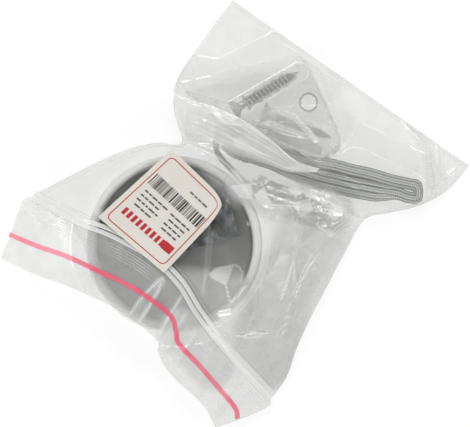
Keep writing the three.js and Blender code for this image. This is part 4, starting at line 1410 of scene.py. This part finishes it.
def rope_route():
    """The rope's whole course: from the stop, seven turns round the hank, and through the gripper."""
    count = 200
    plan, outward = closed_course(HANK_LOOP, count)
    share = np.arange(count) / count
    spread = smoothstep(share, 0.12, 0.25) * (1 - smoothstep(share, 0.39, 0.47))
    passing = smoothstep(share, 0.70, 0.97)  # over to the next turn
    wide = sum(swing * np.exp(-(((share - end) / 0.045) ** 2)) for end, swing in WIDE_ENDS)
    turns = []
    for (stack, front), (following, _) in zip(TURNS, [*TURNS[1:], TURNS[-1]]):
        lane, height = (mix(mix(a, b, spread), c, passing) for a, b, c in zip(stack, front, following))
        turns.append(np.column_stack([plan + outward * (lane + wide)[:, None], height]))
    hank = np.concatenate(turns)[12:-16]  # without the points where the lead and the tail join it
    lead = [(-20.2, 20.05, FLOOR + 2.1), (-18.6, 19.4, FLOOR + 1.7)]
    tail = [(-18.6, 23.0, FLOOR + 5.4), (-20.4, 19.4, FLOOR + 4.5), (-19.2, 16.0, FLOOR + 2.9),
            (-16.6, 13.6, FLOOR + 1.5), (-13.4, 12.5, FLOOR + 1.1), (-9.5, 11.8, FLOOR + 1.6),
            (-5.4, 10.8, FLOOR + 2.6), *(along_gripper(d) for d in (-6.5, -3, 4, 12, TIP_REACH))]
    knots = [*lead, *hank[::4], *tail]
    route = spline(*knots)(np.linspace(0, 1, 40 * len(knots)))
    spacing = 0.6
    return evenly(route, int(round(lengths_along(route)[-1] / spacing)) + 1)


def tube(name, route, radius, material):
    """A rope along the route: six strands laid round one another."""
    rows, columns = len(route), 24
    tangent = unit_rows(np.gradient(route, axis=0))
    side = unit_rows(np.cross(tangent, UP))
    over = np.cross(side, tangent)
    run = lengths_along(route)
    angle = circle(columns)
    lay = 13.0  # one turn of a strand along the rope
    strand = 3 * (angle[None] - 2 * np.pi * run[:, None] / lay)  # half a wave for each of the six strands
    r = radius * (0.93 + 0.09 * np.abs(np.cos(strand)))
    points = route[:, None] + sum(
        way[:, None] * (r * wave)[..., None] for way, wave in ((side, np.cos(angle)), (over, np.sin(angle))))
    faces = grid_faces(rows, columns, around=True)
    faces += [list(range(columns))[::-1], list(range((rows - 1) * columns, rows * columns))]
    obj = linked(name, points.reshape(-1, 3), faces, material)
    uv = obj.data.uv_layers.new(name="rope").data
    for face in obj.data.polygons:
        wraps = face.index % columns == columns - 1
        for loop in face.loop_indices:
            row, column = divmod(obj.data.loops[loop].vertex_index, columns)
            uv[loop].uv = (run[row], (column + columns * (wraps and column == 0)) / columns)
    shade(obj.data, 60)
    return obj


def build_rope():
    """The rope and its two ends; gives back the rope, its route and the tip's sleeve."""
    route = rope_route()
    rope = place(tube("wire_rope", route, ROPE_R, rope_steel), "rope", "rope_hank", "rope_lead", "rope_tail")
    sleeve_profile = [(0, 0.1), (1.3, 0.1), (1.3, 3), (0.9, 3.4), (0, 3.4)]
    sleeve = turned_piece("tip_sleeve", sleeve_profile, along_gripper(TIP_REACH), GRIPPER_WAY, nickel)
    place(sleeve, "nickel", "rope_tip_sleeve")
    stop_profile = [(0, 0), (1.5, 0), (1.5, 1.2), (1.38, 1.5), (1.5, 1.8), (1.5, 3.0), (1.38, 3.3), (1.5, 3.6),
                    (1.5, 5), (2, 5.4), (2, 8.2), (1.4, 8.6), (0, 8.6)]
    place(turned_piece("end_stop", stop_profile, STOP_START, STOP_END - STOP_START, nickel), "nickel", "rope_end_stop")
    return rope, route, sleeve


# --- cable gripper


def knurled(r, z, angle):
    """Diamond knurling on the nut's outer face: two sets of ridges that cross."""
    around, rise, depth = 22, 1.1, 0.5
    ridges = [np.abs(((angle * around / (2 * np.pi) + sign * z / rise) % 1) - 0.5) for sign in (1, -1)]
    return r + np.where(r > NUT_R - 0.1, depth * (np.minimum(*ridges) - 0.25), 0)


def build_gripper():
    bore, chamber, wall = 1.4, 2.65, 1.4
    shelf = GRIPPER_LENGTH - 2.1  # where the cap sits
    top = GRIPPER_LENGTH + 3.6
    barrel = [
        (bore, -5), (2.0, -5), (2.2, -4.8), (2.2, 0), (GRIPPER_R - 0.4, 0), (GRIPPER_R, 0.4), (GRIPPER_R, 3.4),
        (GRIPPER_R - 0.25, 3.7), (GRIPPER_R - 0.25, 4.3), (GRIPPER_R, 4.6), (GRIPPER_R, GRIPPER_LENGTH - 2.4),
        (chamber, GRIPPER_LENGTH - 2.4), (chamber, wall), (bore, wall), (bore, -5),
    ]
    collar = [(2.3, shelf), (GRIPPER_R, shelf), (GRIPPER_R, shelf + 1.4), (GRIPPER_R - 0.7, shelf + 2.2),
              (2.3, shelf + 2.2), (2.3, shelf)]
    button = [(bore, 8.6), (2.35, 8.6), (2.35, 10), (1.95, 10), (1.95, top - 0.3), (1.7, top), (bore, top), (bore, 8.6)]
    for name, profile, ease, node, body in (
        ("gripper_barrel", barrel, 0.12, "gripper_body", "gripper"),
        ("gripper_collar", collar, 0.12, "gripper_cap", "gripper"),
        ("gripper_button", button, 0.08, "gripper_plunger", "plunger"),
    ):
        place(turned_piece(name, profile, GRIPPER_START, GRIPPER_WAY, nickel, ease=ease), "nickel", node, body=body)

    axes = axes_along(GRIPPER_WAY)
    coils, coil_r, wire_r, low, high = 4, 1.95, 0.17, 4.55, 6.25
    along = np.linspace(0, 1, 220)
    turn = along * 2 * np.pi * coils
    helix = np.stack([coil_r * np.cos(turn), coil_r * np.sin(turn), mix(low, high, along)], 1) @ axes + GRIPPER_START
    place(tube("gripper_coil", helix, wire_r, zinc), "zinc", "gripper_spring", body="gripper")

    ball_r, from_axis, from_start = 0.55, 1.9, 2.9
    ball_profile = [(ball_r * math.sin(t), -ball_r * math.cos(t)) for t in np.linspace(0, np.pi, 15)]
    for number in (1, 2, 3):
        way = level_way(math.radians(120 * number - 30))
        middle = GRIPPER_START + (from_axis * way + from_start * UP) @ axes
        ball = turned_piece(f"clamping_ball_{number}", ball_profile, middle, GRIPPER_WAY, zinc, segments=24, ease=0)
        place(ball, "zinc", f"gripper_ball_{number}", body="gripper")

    knurls = [(NUT_R, z) for z in np.linspace(-3.3, -0.5, 24)]
    nut = [(2.5, -3.5), (3.7, -3.5), *knurls, (3.7, -0.3), (2.5, -0.3), (2.5, -3.5)]
    shape = turned(nut, GRIPPER_START, GRIPPER_WAY, segments=176, ease=0, radius=knurled)
    place(mesh_object("knurled_ring_nut", *shape, nickel, smooth=25), "nickel", "gripper_nut", body="knurled_nut")


# --- screws and wall plugs


def build_screws():
    head_profile = [(0, 0), (SCREW_HEAD_R, 0), (SCREW_HEAD_R, 0.5), (SCREW_CORE_R, 3.0), (SCREW_CORE_R, 5.2), (0, 5.2)]
    for number, (head, tip, z_head, z_tip) in enumerate(SCREWS, 1):
        start, end = np.array([*head, z_head]), np.array([*tip, z_tip])
        way = unit(end - start)
        axes = axes_along(way)
        screw_head = face_outwards(mesh_object("head", *turned(head_profile, start, way, ease=0.15), zinc))
        for turn in (math.pi / 4, 3 * math.pi / 4):
            carve(screw_head, block(start, CROSS_BLADE, turned_axes(axes, turn)))
        shank = threaded(np.linalg.norm(end - start) - THREAD_START, SCREW_R, SCREW_CORE_R, SCREW_PITCH,
                         start + way * THREAD_START, way, taper=5.0, segments=48)
        screw = mesh_object(f"threaded_screw_{number}", *shank, zinc)
        with edited(screw.data) as work:
            work.from_mesh(screw_head.data)
        bpy.data.objects.remove(screw_head)
        shade(screw.data, 40)
        mark_grooves(screw, start, way)
        place(screw, "zinc", f"wood_screw_{number}")


def build_plugs():
    teeth = [corner for low in (3, 6.4, 9.8, 13.2) for corner in ((1.9, low), (2.4, low + 2.4))]
    profile = [(1.2, 0), (PLUG_COLLAR_R, 0), (PLUG_COLLAR_R, 0.8), (2.1, 0.8), *teeth,
               (1.9, 17), (1.5, PLUG_LENGTH), (1.2, PLUG_LENGTH), (1.2, 0)]
    for number, ends in enumerate(PLUGS, 1):
        start, end = (np.array([*place_on, PLUG_AXIS]) for place_on in ends)
        way = unit(end - start)
        plug = face_outwards(mesh_object(f"ribbed_plug_{number}", *turned(profile, start, way, ease=0.1), nylon))
        place(carve(plug, block(start + way * 14, PLUG_SLIT, axes_along(way))), "nylon", f"wall_plug_{number}")


def mark_grooves(obj, origin, direction):
    """Gives the thread's root the value 1 and its crest 0, which the material paints dark as painted shade in the
    groove.
    """
    off = np.array([vertex.co for vertex in obj.data.vertices]) - metres(origin)
    along = off @ direction
    away = np.linalg.norm(off - along[:, None] * direction, axis=1) * 1000
    root = 1 - smoothstep(away, SCREW_CORE_R + 0.05, SCREW_R - 0.1)
    value_points(obj, "groove", root * smoothstep(along * 1000, THREAD_START, THREAD_START + 1))


def turned_axes(axes, turn):
    """The axes with the first two turned about the third."""
    first = axes[0] * math.cos(turn) + axes[1] * math.sin(turn)
    return [first, np.cross(axes[2], first), axes[2]]


# --- label

# The label's corners in plan, from its top one round by the curled one.
LABEL_TOP = np.array([-30.2, 5.7])
LABEL_RIGHT = np.array([-3.6, 1.4])
LABEL_BOTTOM = np.array([-8.2, -30.5])
LABEL_LEFT = np.array([-37.6, -27.8])
LABEL_LONG = 34.6
LABEL_SHORT = 28.4
LABEL_LIFT = 3.2  # over the cup's rim
INK_LIFT = 0.05
CURL = 9.0  # how far the curled corner reaches
# The printing's places, in millimetres down the label's long side and across it.
STRIPES_DOWN, STRIPES_ACROSS = (9.6, 14.4), (2.9, 25.8)
RED_BLOCK = (25.2, 28.4, 21.6, 25.4)
RED_BARS_DOWN, RED_BARS_ACROSS, RED_BAR_STEP, RED_BAR_WIDTH = (25.4, 28.2), (4.0, 20.6), 2.05, 1.25
# The dashes in place of text lines: each line's place down the label, and its start and end across it.
DASHED_LINES = [
    (6.4, 15.6, 24.6), (16.7, 4.2, 14.4), (18.7, 4.2, 13.2), (20.7, 4.2, 14.0), (22.7, 5.0, 12.6),
    (16.9, 16.2, 25.0), (18.9, 17.0, 24.2), (20.9, 16.6, 24.6), (22.8, 17.2, 24.4),
]


def label_points(p, q, lift=0.0):
    """Points of the label `p` down its long side and `q` along its short side, in millimetres."""
    p, q = np.asarray(p), np.asarray(q)
    s, t = (p / LABEL_LONG)[..., None], (q / LABEL_SHORT)[..., None]
    plan = mix(mix(LABEL_TOP, LABEL_RIGHT, t), mix(LABEL_LEFT, LABEL_BOTTOM, t), s)
    curl = np.clip((q - (LABEL_SHORT - CURL) - 0.75 * p) / CURL, 0, 1) ** 2
    plan = plan + unit(LABEL_LEFT - LABEL_RIGHT) * (2.4 * curl)[..., None]
    wave = 0.35 * np.sin(plan[..., 0] / 6.0 + 0.8) * np.sin(plan[..., 1] / 9.0)
    bow = 0.5 * np.sin(np.pi * p / LABEL_LONG)
    z = CUP_TOP + LABEL_LIFT + bow + wave + 2.2 * curl + lift
    return np.concatenate([plan, z[..., None]], -1)


def printed(p0, p1, q0, q1):
    """A printed rectangle on the label."""
    rows, columns = (max(2, int(size / 0.8) + 2) for size in (p1 - p0, q1 - q0))
    p, q = np.meshgrid(np.linspace(p0, p1, rows), np.linspace(q0, q1, columns), indexing="ij")
    return label_points(p, q, INK_LIFT).reshape(-1, 3), sheet_faces(rows, columns)


def outline_band(margin, corner, width):
    """A thin rounded border near the label's edge."""
    near_side = margin + corner
    far_p, far_q = LABEL_LONG - near_side, LABEL_SHORT - near_side
    bends = [(near_side, near_side, 180), (near_side, far_q, 90), (far_p, far_q, 0), (far_p, near_side, 270)]
    bend_steps, straight_steps = 8, 24
    # Each point is a bend's centre and the direction from it.
    turns = []
    for p, q, first in bends:
        for step in range(bend_steps + 1):
            angle = math.radians(first + 90 - 90 * step / bend_steps)
            turns.append(np.array([p, q, math.cos(angle), math.sin(angle)]))
    dense = []
    for i, (turn, following) in enumerate(zip(turns, [*turns[1:], turns[0]])):
        steps = straight_steps if (i + 1) % (bend_steps + 1) == 0 else 1
        dense += [mix(turn, following, k / steps) for k in range(steps)]
    dense = np.array(dense)
    way = unit_rows(dense[:, 2:])
    rings = [label_points(*(dense[:, :2] + way * (corner - inner)).T, INK_LIFT) for inner in (0, width)]
    return np.concatenate(rings), grid_faces(2, len(dense), around=True)


def print_on_label(name, shapes, ink):
    place(mesh_object(name, *merge(*shapes), ink, smooth=180), "paper")


def build_label():
    rows, columns = 90, 76
    p, q = np.meshgrid(np.linspace(0, LABEL_LONG, rows), np.linspace(0, LABEL_SHORT, columns), indexing="ij")
    sheet = mesh_object("paper_label", label_points(p, q).reshape(-1, 3), sheet_faces(rows, columns), paper, smooth=180)
    thick = sheet.modifiers.new("thickness", "SOLIDIFY")
    thick.thickness = 0.00012
    thick.offset = -1
    place(applied(sheet, 60), "paper", "label")

    random = np.random.default_rng(5)
    stripes, (at, end) = [], STRIPES_ACROSS
    while at < end:
        wide = random.choice([0.22, 0.22, 0.4, 0.62])
        stripes.append(printed(*STRIPES_DOWN, at, at + wide))
        at += wide + random.choice([0.22, 0.3, 0.5])
    print_on_label("label_stripes", stripes, black_ink)

    dashes, half_height, gap, shortest = [], 0.32, 0.45, 0.6
    for row, at, end in DASHED_LINES:
        while at < end - shortest:
            wide = min(random.uniform(0.9, 2.6), end - at)
            dashes.append(printed(row - half_height, row + half_height, at, at + wide))
            at += wide + gap
    print_on_label("label_lines", dashes, grey_ink)

    border = outline_band(margin=1.7, corner=1.9, width=0.34)
    red_bars = [printed(*RED_BARS_DOWN, at, at + RED_BAR_WIDTH) for at in np.arange(*RED_BARS_ACROSS, RED_BAR_STEP)]
    print_on_label("label_red_print", [border, printed(*RED_BLOCK), *red_bars], red_ink)


# --- the whole scene

add_camera()
add_world()
add_floor()
for light in SOFTBOXES:
    add_softbox(*light)

rope, route, sleeve = build_rope()
build_gripper()
build_cup()
build_strap()
build_screws()
build_plugs()
inner_sheets = build_inner_bag()
outer_sheets = build_outer_bag()
build_zip()
build_stripe()
build_label()

scene = bpy.context.scene
scene.view_settings.view_transform = "Standard"
scene.cycles.transparent_max_bounces = 40  # a ray passes many layers of clear film
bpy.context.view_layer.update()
